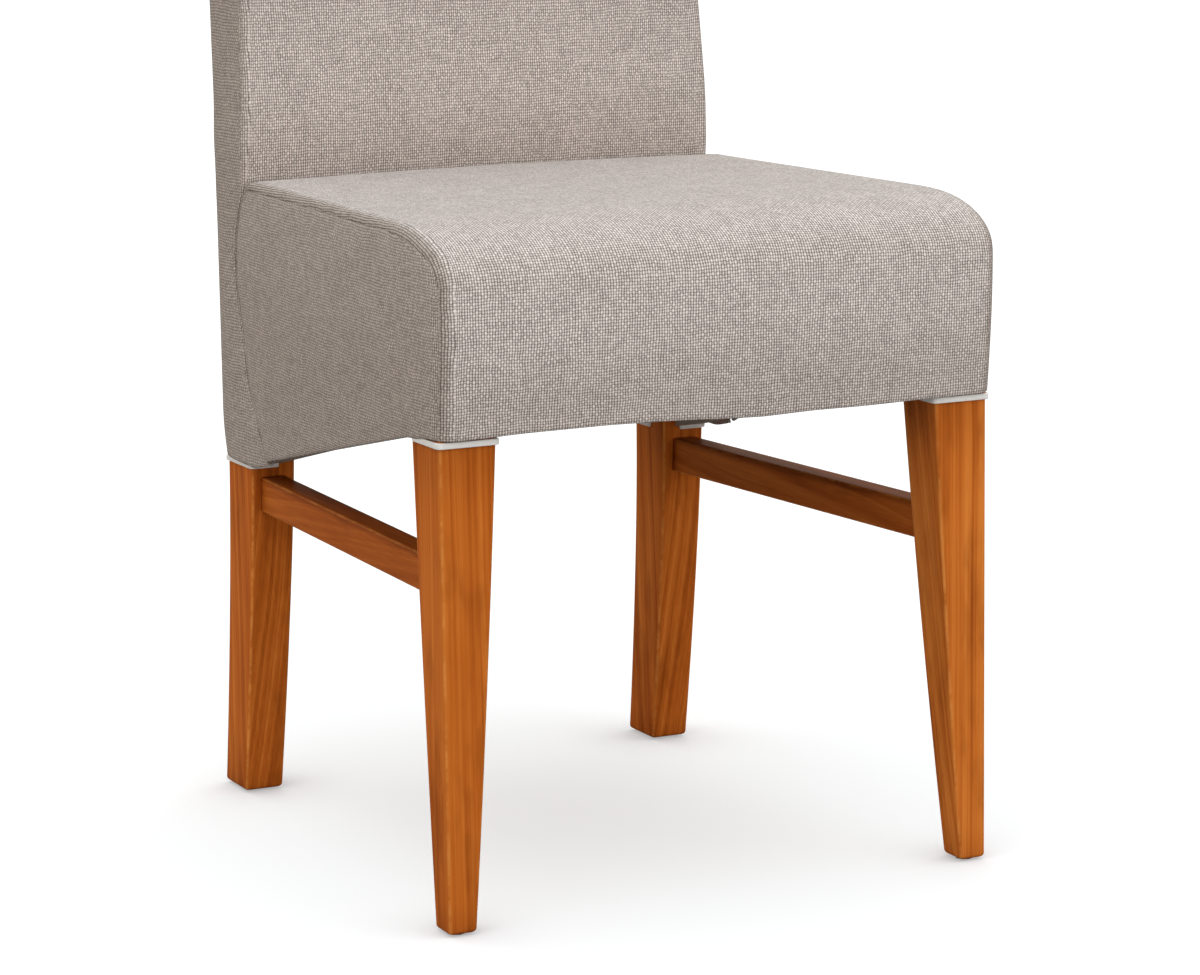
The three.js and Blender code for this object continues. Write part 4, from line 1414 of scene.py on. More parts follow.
def leg_tapes() -> list[LegTape]:
    """The four tapes, each over the faces that the cloth covers.

    Returns:
        The tapes, not yet built.
    """
    reach, rear_height = 0.6, 4.0
    gap = SIZES.cloth_gap + LegTape.thickness / 2
    half = SIZES.front_width / 2
    inner = half - SIZES.front_leg[0]
    front = [(half + gap, SIZES.tape_end), (half + gap, -gap), (inner - gap, -gap),
             (inner - gap, reach * SIZES.front_leg[1])]
    outer = SIZES.rear_width / 2
    rear_inner = outer - SIZES.rear_leg[0]
    back = SIZES.post_rear + gap
    ahead = SIZES.post_rear - SIZES.rear_leg[1] - gap
    rear = [(outer - reach * SIZES.rear_leg[0], ahead), (outer + gap, ahead),
            (outer + gap, back), (rear_inner - gap, back),
            (rear_inner - gap, back - reach * SIZES.rear_leg[1])]
    tapes = []
    for side in Side:
        word = side.name.lower()
        tapes.append(LegTape("leg_tape_front_" + word, side, front[::-1], SIZES.leg_clear))
        tapes.append(LegTape("leg_tape_rear_" + word, side, rear,
                             SIZES.rear_hem - SIZES.rear_tape_drop, height=rear_height))
    return tapes


# Seat

SEAM_CURVE = [(383, 494), (392, 492.6), (400, 489.2), (407, 483.5), (413, 475.8), (420, 463.5),
              (425.5, 450), (428, 436), (428.8, 423), (425.8, 401), (416, 369.7), (406, 332),
              (391, 308.5), (374, 287.5), (366, 278)]


def outward(points: Array) -> Array:
    """Normals of a side-view curve, on the left of its direction of travel.

    Args:
        points: The curve's points.

    Returns:
        A unit normal at each point.
    """
    tangent = np.gradient(points, axis=0)
    tangent /= np.linalg.norm(tangent, axis=1, keepdims=True)
    return np.stack([-tangent[:, 1], tangent[:, 0]], axis=1)


def coons(bottom: Array, top: Array, left: Array, right: Array) -> Array:
    """Fills four edges with a grid.

    Args:
        bottom: Edge from the left to the right, columns by k.
        top: Edge from the left to the right, columns by k.
        left: Edge from the bottom to the top, rows by k.
        right: Edge from the bottom to the top, rows by k.

    Returns:
        A grid, rows by columns by k: (1-v)B + vT + (1-u)L + uR less the bilinear part.
    """
    u = np.linspace(0.0, 1.0, len(bottom))[None, :, None]
    v = np.linspace(0.0, 1.0, len(left))[:, None, None]
    ruled = (1 - v) * bottom[None] + v * top[None] + (1 - u) * left[:, None] + u * right[:, None]
    flat = ((1 - u) * (1 - v) * bottom[0] + u * (1 - v) * bottom[-1]
            + (1 - u) * v * top[0] + u * v * top[-1])
    return ruled - flat


def nearest(points: Array, line: Array) -> tuple[Array, Array]:
    """Distance from points to a polyline's points, and the place along it."""
    gaps = np.linalg.norm(points[..., None, :] - line, axis=-1)
    return gaps.min(axis=-1), arc_lengths(line)[gaps.argmin(axis=-1)]


@dataclass
class SeatCushion:
    """The padded seat in its cover.

    One sheet of cloth runs up the front and over the top. A panel is sewn to it on each side,
    along the front corner and just under the top edge, and to the back's cover behind.

    Attributes:
        front_rows: Cells up the front to the middle of the roll, and down the rear seam.
        top_rows: Cells from there to the upper end of the rear seam.
        middle: Cells across the sheet.
        rounding: Cells round each side edge.
        bulge: How far each side panel swells.
        roll: Half axes, rearward and upward, of the front's rounding.
        fullness: Power of the superellipse that the rounding follows.
        belly: How far the front stands out at its hem, and how much more under the roll.
        edges: Radius of the side edges in front, and how much less it is on top and behind.
        seam_angles: Angle round the edge at which the side seam runs in front, in degrees, and
            how much more it is on top and behind.
        front_crown: How far the middle of the front swells.
        seam_strength: How strong the side seam looks beside the one at the back, which is 1.
        sheet_end: Where the top of the sheet turns down in front of the back, in y.
        dive: How far forward of there the turn begins, its radius and the depths below it.
    """

    front_rows: int = 34
    top_rows: int = 66
    middle: int = 54
    rounding: int = 6
    bulge: float = 2.5
    roll: tuple[float, float] = (105.0, 43.0)
    fullness: float = 2.45
    belly: tuple[float, float] = (5.0, 7.5)
    edges: tuple[float, float, float] = (12.0, 3.0, 5.0)
    seam_angles: tuple[float, float, float] = (52.0, 24.0, 14.0)
    front_crown: float = 3.0
    seam_strength: float = 0.55
    sheet_end: float = 406.0
    dive: tuple[float, float, float, float] = (7.0, 5.0, 8.0, 13.0)
    sizes: ChairSizes = field(default_factory=lambda: SIZES)

    def profile(self) -> tuple[Array, Array]:
        """The edge of the seat in side view, from the front hem over the top to the rear hem.

        Returns:
            Points and outward normals, one for each row.
        """
        top_level, wall_top = self.sizes.seam_height, self.sizes.seam_height - self.roll[1]
        z = np.linspace(self.sizes.front_hem, wall_top, 60)
        share = (z - self.sizes.front_hem) / (wall_top - self.sizes.front_hem)
        wall = np.stack([-(self.belly[0] + self.belly[1] * np.sin(share * RIGHT_ANGLE)), z], axis=1)
        angle = np.linspace(0.0, RIGHT_ANGLE, 61)[1:]
        power = 2.0 / self.fullness
        roll = np.stack([self.roll[0] * (1 - np.cos(angle) ** power) - sum(self.belly),
                         wall_top + self.roll[1] * np.sin(angle) ** power], axis=1)
        y = np.linspace(roll[-1, 0] + 1.0, SEAM_CURVE[0][0] - 1.0, 100)
        top = np.stack([y, np.full_like(y, top_level)], axis=1)
        steps, corner = 12, 3
        seam = smooth_curve(SEAM_CURVE, steps)
        line = np.vstack([wall, roll, top, seam])
        along = arc_lengths(line)
        first = along[len(wall) + len(roll) // 2]
        second = along[len(wall) + len(roll) + len(top) + steps * corner]
        stops = np.concatenate([np.linspace(0.0, first, self.front_rows + 1)[:-1],
                                np.linspace(first, second, self.top_rows + 1)[:-1],
                                np.linspace(second, along[-1], self.front_rows + 1)])
        points = np.stack([np.interp(stops, along, column) for column in line.T], axis=1)
        samples = 800
        fine = outward(resample(line, samples))
        spread = np.linspace(0.0, along[-1], samples)
        normals = np.stack([np.interp(stops, spread, column) for column in fine.T], axis=1)
        return points, normals / np.linalg.norm(normals, axis=1, keepdims=True)

    def edge_shape(self, points: Array) -> tuple[Array, Array, Array]:
        """Rounding of the side edge at each row.

        Args:
            points: The profile, one point for each row.

        Returns:
            The edge's radius, the angle round it at which the side seam runs, from 0 on the
            sheet to a right angle on the side, and how far below the rounding the seam lies.
        """
        along = arc_lengths(points)
        meeting, run, drop = (404.0, 486.0), 34.0, 0.6
        shrinking, widening = (100.0, 220.0), (95.0, 175.0)
        behind = along[np.argmin(np.abs(points - meeting).sum(axis=1))]
        late = smoothstep(behind - run, behind, along)
        smaller, wider = smoothstep(*shrinking, along), smoothstep(*widening, along)
        radius = self.edges[0] - self.edges[1] * smaller - self.edges[2] * late
        angle = np.radians(self.seam_angles[0] + self.seam_angles[1] * wider
                           + self.seam_angles[2] * late)
        return radius, angle, drop * late

    def crown(self, normals: Array, share: Array) -> Array:
        """Swelling of the sheet along its normal, falling as 1 - share^2 to the sides.

        Args:
            normals: Unit normals down the sheet.
            share: Places across, from -1 to 1.

        Returns:
            The swelling, rows by columns.
        """
        level = np.clip(normals[:, 1], 0.0, 1.0)
        height = self.front_crown + (self.sizes.seat_crown - self.front_crown) * level
        return height[:, None] * (1 - share[None, :] ** 2)

    def hem_wave(self, x: Array) -> Array:
        """How far the front hem rises or sags between the legs, through a few levels.

        Args:
            x: Places across.

        Returns:
            The rise at each place.
        """
        across = [-200.0, -156.0, -91.0, -40.0, 0.0, 30.0, 70.0, 110.0, 170.0]
        levels = [0.0, 1.8, 2.5, 1.5, -0.4, -1.4, -0.3, -0.7, 0.0]
        return np.interp(x, across, levels)

    def sheet(self) -> tuple[list[Patch], Array, Array, Array]:
        """Builds the sheet.

        Returns:
            Its patches, the side seam's line in side view, the edge's radius and the seam's depth
            below the profile at each row, and the profile.
        """
        shade_turn, wave_levels = 0.42, (350.0, 390.0)
        points, normals = self.profile()
        radius, angle, drop = self.edge_shape(points)
        along = arc_lengths(points)
        rear = self.front_rows + self.top_rows
        turn = angle[:, None] * np.linspace(0.0, 1.0, self.rounding + 1)[None, :]
        depth = radius[:, None] * (1 - np.cos(turn))
        back = radius[:, None] * (1 - np.sin(turn))
        fold = np.linspace(0.0, 1.0, 3)[1:]
        depth = np.hstack([depth, depth[:, -1:] + drop[:, None] * fold])
        back = np.hstack([back, back[:, -1:] + 0 * fold])
        edge = points[:, None, :] - normals[:, None, :] * depth[..., None]
        half = self.sizes.cloth_half(edge[..., 0])
        side = np.concatenate([(half - back)[..., None], edge], axis=-1)
        bend = radius * angle
        arc = np.hstack([radius[:, None] * turn, bend[:, None] + drop[:, None] * fold])
        reach = side[:, :1, 0] + arc
        weave = np.stack([reach, np.broadcast_to(along[:, None], reach.shape)], axis=-1) * MM
        seam_gap = (bend + drop)[:, None] - arc
        upper = along[:, None] + 0 * arc
        shown = np.arange(len(points)) < rear
        rear_gap = arc + (np.abs(along[rear] - along) * shown)[:, None]
        nearer = rear_gap < seam_gap
        seam = np.stack([np.where(nearer, rear_gap, seam_gap), upper], axis=-1) * MM
        strength = np.where(nearer, 1.0, self.seam_strength)
        # Painted shade: each row's share, rising round the side edge to full on the side.
        row_shade = self.painted_shade(points, normals, shown)
        turned = np.hstack([turn, turn[:, -1:] + 0 * fold]) / RIGHT_ANGLE
        shade_round_edge = smoothstep(0.0, shade_turn, turned)
        painted_shade = row_shade[:, None] + (1.0 - row_shade[:, None]) * shade_round_edge
        right = Patch(side, weave, seam, tone=np.stack([painted_shade, strength], axis=-1))
        last = int(np.argmin(np.abs(points[:rear, 0] - (self.sheet_end - self.dive[0]))))
        share = np.linspace(-1.0, 1.0, self.middle + 1)
        swell = self.crown(normals[:last + 1], share)
        rows = points[:last + 1, None, :] + normals[:last + 1, None, :] * swell[..., None]
        across = share[None, :] * side[:last + 1, :1, 0]
        middle = np.concatenate([across[..., None], rows], axis=-1)
        waving = 1.0 - smoothstep(*wave_levels, rows[..., 1])
        middle[..., 2] += self.hem_wave(across) * waving
        upward = np.broadcast_to(along[:last + 1, None], across.shape)
        flat = np.stack([across, upward], axis=-1) * MM
        shade = np.stack([np.broadcast_to(row_shade[:last + 1, None], across.shape), 1 + 0 * across], -1)
        body = Patch(middle, flat, tone=shade)
        border = np.stack([radius, depth[:, -1]], axis=1)
        patches = [body, self.turn_down(middle[-1], flat[-1]), right, right.mirrored()]
        return patches, edge[:, -1], border, points

    def painted_shade(self, points: Array, normals: Array, shown: Array) -> Array:
        """How much painted shade each row gets, low on the front and on the roll.

        Args:
            points: The profile, one point for each row.
            normals: Its outward normals.
            shown: Whether each row shows, rather than lying behind the seat.

        Returns:
            A share for each row: low s(z) + turning n (1 - n), n being the normal's upward part.
        """
        low, turning, levels = 0.4, 1.3, (365.0, 430.0)
        row_shade = low * (1.0 - smoothstep(*levels, points[:, 1])) * shown
        level = np.clip(normals[:, 1], 0.0, 1.0) * shown
        return row_shade + turning * level * (1.0 - level)

    def turn_down(self, edge: Array, weave: Array) -> Patch:
        """Turns the rear edge of the top down in front of the back, round a quarter circle.

        Args:
            edge: The edge's points.
            weave: Their cloth coordinates.

        Returns:
            The part turned down.
        """
        bend = np.linspace(0.0, RIGHT_ANGLE, 5)[:, None]
        _, radius, *depths = self.dive
        run = self.sheet_end - edge[:, 1]
        below = np.array(depths)[:, None]
        y = np.vstack([edge[:, 1] + run * np.sin(bend), self.sheet_end + 0 * (below + run)])
        z = edge[:, 2] - np.vstack([radius * (1 - np.cos(bend)), below])
        x = np.broadcast_to(edge[:, 0], y.shape)
        down = np.stack([0 * y, y - edge[:, 1] + edge[:, 2] - z], axis=-1)
        return Patch(np.stack([x, y, z], axis=-1), weave[None] + down * MM)

    def panel(self, line: Array, border: Array, points: Array) -> Patch:
        """Builds the right side panel between the sheet, the rear seam and the hem.

        Its x goes on round the edge: at a depth u below the profile it lies inside the side's
        plane by r - sqrt(r^2 - (r - u)^2), and it swells a little in the middle.

        Args:
            line: The side seam in side view, one point for each row of the sheet.
            border: The edge's radius r and the seam's depth at each row.
            points: The profile, one point for each row.

        Returns:
            The panel on the right.
        """
        flatter, less_shade_above, levels = 0.7, 0.2, (360.0, 480.0)
        first, second = self.front_rows, self.front_rows + self.top_rows
        left, top, right = line[:first + 1], line[first:second + 1], line[second:][::-1]
        y = np.linspace(left[0, 0], right[0, 0], self.top_rows + 1)
        hem = np.stack([y, self.sizes.hem(y)], axis=1)
        hem[:, 1] += np.linspace(0.0, right[0, 1] - hem[-1, 1], len(y))
        grid = coons(hem, top, left, right)
        gaps = np.linalg.norm(grid[..., None, :] - line[:second + 1], axis=-1)
        near, place = gaps.min(axis=-1), gaps.argmin(axis=-1)
        radius, depth = border[place, 0], border[place, 1] + near
        inside = radius - np.sqrt(radius ** 2 - np.maximum(radius - depth, 0.0) ** 2)
        u = np.linspace(0.0, math.pi, grid.shape[1])[None, :]
        v = np.linspace(0.0, math.pi, grid.shape[0])[:, None]
        swell = self.bulge * (np.sin(u) * np.sin(v)) ** flatter
        x = self.sizes.cloth_half(grid[..., 0]) - inside + swell
        along = arc_lengths(line[:second + 1])[place]
        far, below = nearest(grid, points[second - 4:])
        closer = far < near
        seam = np.stack([np.where(closer, far, near), np.where(closer, below, along)], axis=-1)
        strength = np.where(closer, 1.0, self.seam_strength)
        # Painted shade on the side panel, a little less higher up.
        painted_shade = 1.0 - less_shade_above * smoothstep(*levels, grid[..., 1])
        return Patch(np.concatenate([x[..., None], grid], axis=-1), grid * MM, seam * MM,
                     tone=np.stack([painted_shade, strength], axis=-1))

    def build(self, front: float, sheet: Material) -> Piece:
        """Makes the seat, padded, closed and riding on the chair.

        Args:
            front: The frame's y at the chair's front, in metres.
            sheet: Its cloth.

        Returns:
            The seat.
        """
        patches, line, border, points = self.sheet()
        panel = self.panel(line, border, points)
        maker = MeshMaker("seat_upholstery")
        for patch in [*patches, panel, panel.mirrored()]:
            maker.add(patch)
        piece = soften(thicken(relax(maker.build(front), SETTLING), SETTLING.thickness))
        piece.data.materials.append(sheet)
        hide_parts("seat_cover", "seat_pad")
        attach(piece, "root")
        return piece


# Back

def back_rear(z: Array) -> Array:
    """Rear face of the back's cover, drawn in a little towards the hem.

    Args:
        z: Heights above the floor.

    Returns:
        Its y at each height.
    """
    start, run, depth = 310.0, 36.0, 6.5
    tuck = np.clip((start - z) / run, 0.0, 1.0)
    return SIZES.cover_rear + SIZES.rake(z) - depth * tuck ** 2


def back_front(z: Array) -> Array:
    """Front face of the back's cover, fuller at mid height.

    Args:
        z: Heights above the floor.

    Returns:
        Its y at each height.
    """
    depth, fuller = 66.0, 14.0
    shares = [0.0, 0.47, 0.9, 1.0, 0.98, 0.85, 0.5]
    place = (z - SIZES.seam_height) / (SIZES.overall_height - SIZES.seam_height)
    full = np.interp(place, np.linspace(0.0, 1.0, len(shares)), shares)
    return back_rear(z) - depth - fuller * full


@dataclass
class BackCushion:
    """The padded back in its cover, which runs down behind the seat's side panels to the hem.

    Attributes:
        upper: Cells from the top down to where the front corners begin to draw in.
        lower: Cells from there to the hem.
        across: Cells across the front and the rear face.
        strip: Cells across each side.
        rounding: Cells round each corner.
        front_radius: Radius of the front corners.
        rear_radius: Radius of the rear corners.
        top_radius: Radius round the top.
        turn_level: Level below which the front corners draw in to the seam.
        low_corner: Radius of the front corners there.
        least_radius: The least radius of any corner, at the top.
        fullness: How much wider the back is above the seat, on each side.
        full_level: Level at which it has become that wide.
        sway: How far its padding leans to the right.
        sway_level: Level at which it has leaned so far.
        front_crown: How far the middle of the front face swells.
        rear_crown: How far the middle of the rear face swells.
        strip_crown: How far the middle of each side swells.
        seam_top: Level of the upper end of the seam behind the seat.
        sheet_end: Level at which the front face turns in over the seat.
        hem_rows: Rows over which the lower edges take the line of the hem.
        cap_rows: Rows that round the top.
    """

    upper: int = 64
    lower: int = 48
    across: int = 50
    strip: int = 12
    rounding: int = 6
    front_radius: float = 5.5
    rear_radius: float = 8.0
    top_radius: float = 14.0
    turn_level: float = 520.0
    low_corner: float = 2.5
    least_radius: float = 2.0
    fullness: float = 2.2
    full_level: float = 530.0
    sway: float = 1.9
    sway_level: float = 556.0
    front_crown: float = 5.0
    rear_crown: float = 2.0
    strip_crown: float = 2.0
    seam_top: float = 485.0
    sheet_end: float = 489.5
    hem_rows: int = 8
    cap_rows: int = 5
    sizes: ChairSizes = field(default_factory=lambda: SIZES)

    def rows(self) -> dict[str, Array]:
        """Works out each row.

        Returns:
            The front and rear edges in side view with their outward normals, the corner radii,
            how far each row is drawn in at the top, and how much it is raised.
        """
        high = self.sizes.overall_height - self.top_radius
        z = np.linspace(high, self.turn_level, self.upper + 1)
        above = np.stack([back_front(z), z], axis=1)
        gap, samples, rounder = 0.6, 400, (500.0, 525.0)
        seam = [(y + gap, level) for y, level in SEAM_CURVE[4:]]
        start = [(float(back_front(np.array(v))), v) for v in (self.turn_level, 509.0, 499.0)]
        below = smooth_curve([*start, (407.9, 491.5), (409.9, 483.5), *seam])
        below = resample(below, self.lower + 1)
        dense = np.vstack([above[:-1], resample(below, samples)])
        normal_line = -outward(dense)
        front = np.vstack([above, below[1:]])
        spots = np.array([np.argmin(np.abs(dense - point).sum(axis=1)) for point in front])
        rear_z = np.concatenate([z, np.linspace(self.turn_level, self.sizes.rear_hem,
                                                self.lower + 1)[1:]])
        rear = np.stack([back_rear(rear_z), rear_z], axis=1)
        upper = smoothstep(*rounder, front[:, 1])
        corner = self.low_corner + (self.front_radius - self.low_corner) * upper
        bend = np.linspace(RIGHT_ANGLE, 0.0, self.cap_rows + 1)[:-1]
        pick = np.concatenate([np.zeros(self.cap_rows, dtype=int), np.arange(len(front))])
        drawn = np.concatenate([self.top_radius * (1 - np.cos(bend)), np.zeros(len(front))])
        raised = np.concatenate([self.top_radius * np.sin(bend), np.zeros(len(front))])
        return {"front": front[pick], "front_normal": normal_line[spots][pick], "rear": rear[pick],
                "rear_normal": outward(rear)[pick], "corner": corner[pick], "drawn": drawn,
                "raised": raised}

    def half(self, z: Array) -> Array:
        """Half the width of the back at a level."""
        fuller = self.fullness * smoothstep(self.seam_top - 1.0, self.full_level, z)
        return self.sizes.rear_width / 2 + self.sizes.cover + fuller - self.sizes.lean(z)

    def shade(self, z: Array) -> Array:
        """How much painted shade the front face gets, more so low down."""
        high, low, levels = 0.36, 0.66, (500.0, 565.0)
        return low + (high - low) * smoothstep(*levels, z)

    def side(self, rows: dict[str, Array]) -> tuple[Patch, Patch]:
        """Builds the right side: the front corner, and the strip with the rear corner.

        Args:
            rows: What rows gives.

        Returns:
            The corner and the strip.
        """
        fore_tighter, aft_tighter, flatter, swell_rows = 0.8, 0.7, 0.8, 10.0
        drawn = rows["drawn"][:, None]
        lift = np.stack([0 * drawn, rows["raised"][:, None]], axis=-1)
        ahead, behind = rows["front_normal"][:, None], rows["rear_normal"][:, None]
        front = rows["front"][:, None] - ahead * drawn[..., None] + lift
        rear = rows["rear"][:, None] - behind * drawn[..., None] + lift
        fore = np.maximum(rows["corner"][:, None] - fore_tighter * drawn, self.least_radius)
        aft = np.maximum(self.rear_radius - aft_tighter * drawn, self.least_radius)
        turn = np.linspace(RIGHT_ANGLE, 0.0, self.rounding + 1)[None, :]
        front_corner = front - ahead * (fore * (1 - np.sin(turn)))[..., None]
        rear_corner = rear - behind * (aft * (1 - np.sin(turn[:, ::-1])))[..., None]
        share = np.linspace(0.0, 1.0, self.strip + 1)[None, :, None]
        flat = front_corner[:, -1:] * (1 - share) + rear_corner[:, :1] * share
        line = np.maximum(self.sizes.hem(flat[-1, :, 0]), self.sizes.rear_hem)
        flat[..., 1] += self.towards_hem(len(flat)) * (line - flat[-1, :, 1])[None, :]
        swell = np.sin(np.linspace(0.0, math.pi, self.strip + 1))[None, :] ** flatter
        fuller = smoothstep(0.0, swell_rows, np.arange(len(flat)))[:, None]
        swell = self.strip_crown * swell * fuller

        def place(grid: Array, back: Array) -> Array:
            """Puts the row's half width in front of its side-view coordinates.

            Args:
                grid: Side-view points.
                back: How far they lie inside the side.

            Returns:
                The points in space.
            """
            top = self.sizes.overall_height - self.top_radius
            x = self.half(np.minimum(grid[..., 1], top)) - drawn - back
            return np.concatenate([x[..., None], grid], axis=-1)

        corner_points = place(front_corner, fore * (1 - np.cos(turn)))
        rear_points = place(rear_corner, aft * (1 - np.cos(turn[:, ::-1])))
        strip_points = np.concatenate([place(flat, -swell), rear_points[:, 1:]], axis=1)
        along = arc_lengths(front[:, 0])[:, None]
        reach = corner_points[:, :1, 0] + fore * (RIGHT_ANGLE - turn)
        corner_weave = np.stack([reach, along + 0 * reach], axis=-1)
        steps = np.linalg.norm(np.diff(strip_points, axis=1), axis=-1)
        across = np.concatenate([np.zeros((len(steps), 1)), np.cumsum(steps, axis=1)], axis=1)
        strip_weave = np.stack([across, strip_points[..., 2]], axis=-1)
        low, far, rear_strength = (rows["front"][:, 1] < self.seam_top)[:, None], 1000.0, 0.45
        corner_gap = np.where(low, fore * (RIGHT_ANGLE - turn), far)
        strip_gap = np.where(low, across + fore * RIGHT_ANGLE, far)
        rear_line = self.strip + self.rounding // 2
        rear_gap = np.abs(across - across[:, rear_line:rear_line + 1])
        strength = np.where(rear_gap < strip_gap, rear_strength, 1.0)
        strip_gap = np.minimum(strip_gap, rear_gap)
        # Painted shade: the front face's share, rising round the corner to full on the strip.
        shade = self.shade(corner_points[:, :1, 2])
        shade = shade + (1 - shade) * np.linspace(0.0, 1.0, self.rounding + 1)
        corner = Patch(corner_points, corner_weave * MM,
                       np.stack([corner_gap, along + 0 * corner_gap], axis=-1) * MM,
                       tone=np.stack([shade, 1 + 0 * corner_gap], axis=-1))
        # The strip gets full painted shade.
        strip = Patch(strip_points, strip_weave * MM,
                      np.stack([strip_gap, along + 0 * strip_gap], axis=-1) * MM,
                      tone=np.stack([1 + 0 * strip_gap, strength], axis=-1))
        return corner, strip

    def towards_hem(self, count: int) -> Array:
        """How far each of count rows takes the line of the hem, from 0 to 1 at the last."""
        return smoothstep(count - 1 - self.hem_rows, count - 1, np.arange(count))[:, None]

    def faces(self, rows: dict[str, Array], corner: Patch, strip: Patch) -> list[Patch]:
        """Builds the front face with its lower fold, and the rear face.

        Both swell as 1 - s^2 across, and the front one as sin^0.7 upward and a little at its foot.

        Args:
            rows: What rows gives.
            corner: The right front corner.
            strip: The right strip.

        Returns:
            The front face, its fold and the rear face.
        """
        share = np.linspace(-1.0, 1.0, self.across + 1)[None, :]
        last = int(np.nonzero(rows["front"][:, 1] > self.sheet_end)[0][-1])
        edge = corner.points[:last + 1, :1]
        x = edge[..., 0] * share
        foot, foot_top, foot_swell, flatter = 488.0, 530.0, 1.5, 0.7
        level = np.clip((edge[..., 2] - foot) / (self.sizes.overall_height - foot), 0.0, 1.0)
        crown = self.front_crown * (1 - share ** 2) * np.sin(math.pi * level) ** flatter
        crest = foot_swell * (1 - share ** 2) * (1.0 - smoothstep(foot, foot_top, edge[..., 2]))
        front = np.stack([x, edge[..., 1] - crown, edge[..., 2] + crest], axis=-1)
        along = arc_lengths(corner.points[:, 0, 1:])[:last + 1, None]
        weave = np.stack([x, along + 0 * x], axis=-1) * MM
        bend = np.linspace(0.0, RIGHT_ANGLE, 5)[1:, None]
        turn_y, turn_z, end_y, end_z = 5.0, 9.0, 9.0, 9.5
        y = front[-1:, :, 1] + np.vstack([turn_y * (1 - np.cos(bend)), [[end_y]]])
        z = front[-1:, :, 2] - np.vstack([turn_z * np.sin(bend), [[end_z]]])
        fold = np.concatenate([front[-1:], np.stack([np.broadcast_to(x[-1:], y.shape), y, z], -1)])
        down = np.stack([0 * fold[..., 0], fold[0, :, 2] - fold[..., 2]], axis=-1)
        fold_weave = weave[-1:] + down * MM
        rear_edge = strip.points[:, -1:]
        rear_x = rear_edge[..., 0] * share
        rear_y = rear_edge[..., 1] + self.rear_crown * (1 - share ** 2)
        beside_legs = (146.0, 160.0)
        between = 1.0 - smoothstep(*beside_legs, np.abs(rear_x))
        higher = self.sizes.middle_rear_hem - self.sizes.rear_hem
        lift = self.towards_hem(len(rear_x)) * between * higher
        rear_z = rear_edge[..., 2] + 0 * rear_x + lift
        down = arc_lengths(rear_edge[:, 0, 1:])[:, None] + 0 * rear_x
        rear = Patch(np.stack([rear_x, rear_y, rear_z], axis=-1),
                     np.stack([rear_x, -down], axis=-1) * MM)
        # The front face and its fold get painted shade, more low down.
        tones = [np.stack([self.shade(grid[..., 2]), 1 + 0 * grid[..., 2]], axis=-1)
                 for grid in (front, fold)]
        return [Patch(front, weave, tone=tones[0]), Patch(fold, fold_weave, tone=tones[1]), rear]

    def cap(self, corner: Patch, strip: Patch, faces: list[Patch]) -> Patch:
        """Closes the top inside the highest row.

        Args:
            corner: The right front corner.
            strip: The right strip.
            faces: What faces gives.

        Returns:
            The cap.
        """
        right = np.concatenate([corner.points[0], strip.points[0, 1:]])
        left = right * (-1, 1, 1)
        turn = self.rounding // 2
        end = len(right) - 1
        front = np.concatenate([left[turn:0:-1], faces[0].points[0], right[1:turn + 1]])
        rear = np.concatenate([left[end - turn:end], faces[2].points[0],
                               right[end - turn:end][::-1]])
        sides = slice(turn, end + 1 - turn)
        points = coons(front, rear, left[sides], right[sides])
        return Patch(points, points[..., :2] * MM)

    def fold_behind_seam(self, corner: Patch, rows: dict[str, Array]) -> Patch:
        """Runs the cloth on under the edge of the seat's panel, just clear of the leg.

        Args:
            corner: The right front corner.
            rows: What rows gives.

        Returns:
            The fold on the right.
        """
        low = rows["front"][:, 1] < self.sheet_end
        edge = corner.points[low][:, :1]
        ahead = np.array([0.0, 1.5, 6.0, 13.0])[None, :, None]
        inward = np.array([0.0, -0.3, -0.4, -0.4])[None, :, None] * (1, 0, 0)
        side = np.concatenate([np.zeros((low.sum(), 1)), rows["front_normal"][low]], axis=1)
        points = edge + inward + ahead * side[:, None]
        weave = corner.weave[low][:, :1] - ahead * (MM, 0)
        seam = np.zeros((*points.shape[:2], 2))
        seam[..., 1] = corner.seam[low][:, :1, 1]
        # The fold behind the seam gets full painted shade.
        return Patch(points, weave, seam, tone=np.ones((*points.shape[:2], 2)))

    def build(self, front: float, cloth: Material) -> Piece:
        """Makes the back, padded, closed and riding on the chair.

        Args:
            front: The frame's y at the chair's front, in metres.
            cloth: Its cloth.

        Returns:
            The back.
        """
        rows = self.rows()
        corner, strip = self.side(rows)
        faces = self.faces(rows, corner, strip)
        tuck = self.fold_behind_seam(corner, rows)
        maker = MeshMaker("back_upholstery")
        for patch in [*faces, self.cap(corner, strip, faces), corner, corner.mirrored(), strip,
                      strip.mirrored(), tuck, tuck.mirrored()]:
            above = smoothstep(self.seam_top - 1.0, self.sway_level, patch.points[..., 2])
            patch.points[..., 0] += self.sway * above
            maker.add(patch)
        piece = soften(thicken(relax(maker.build(front), SETTLING), SETTLING.thickness))
        piece.data.materials.append(cloth)
        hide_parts("back_cover", "back_pad", "rear_wadding")
        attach(piece, "root")
        return piece


# Studio

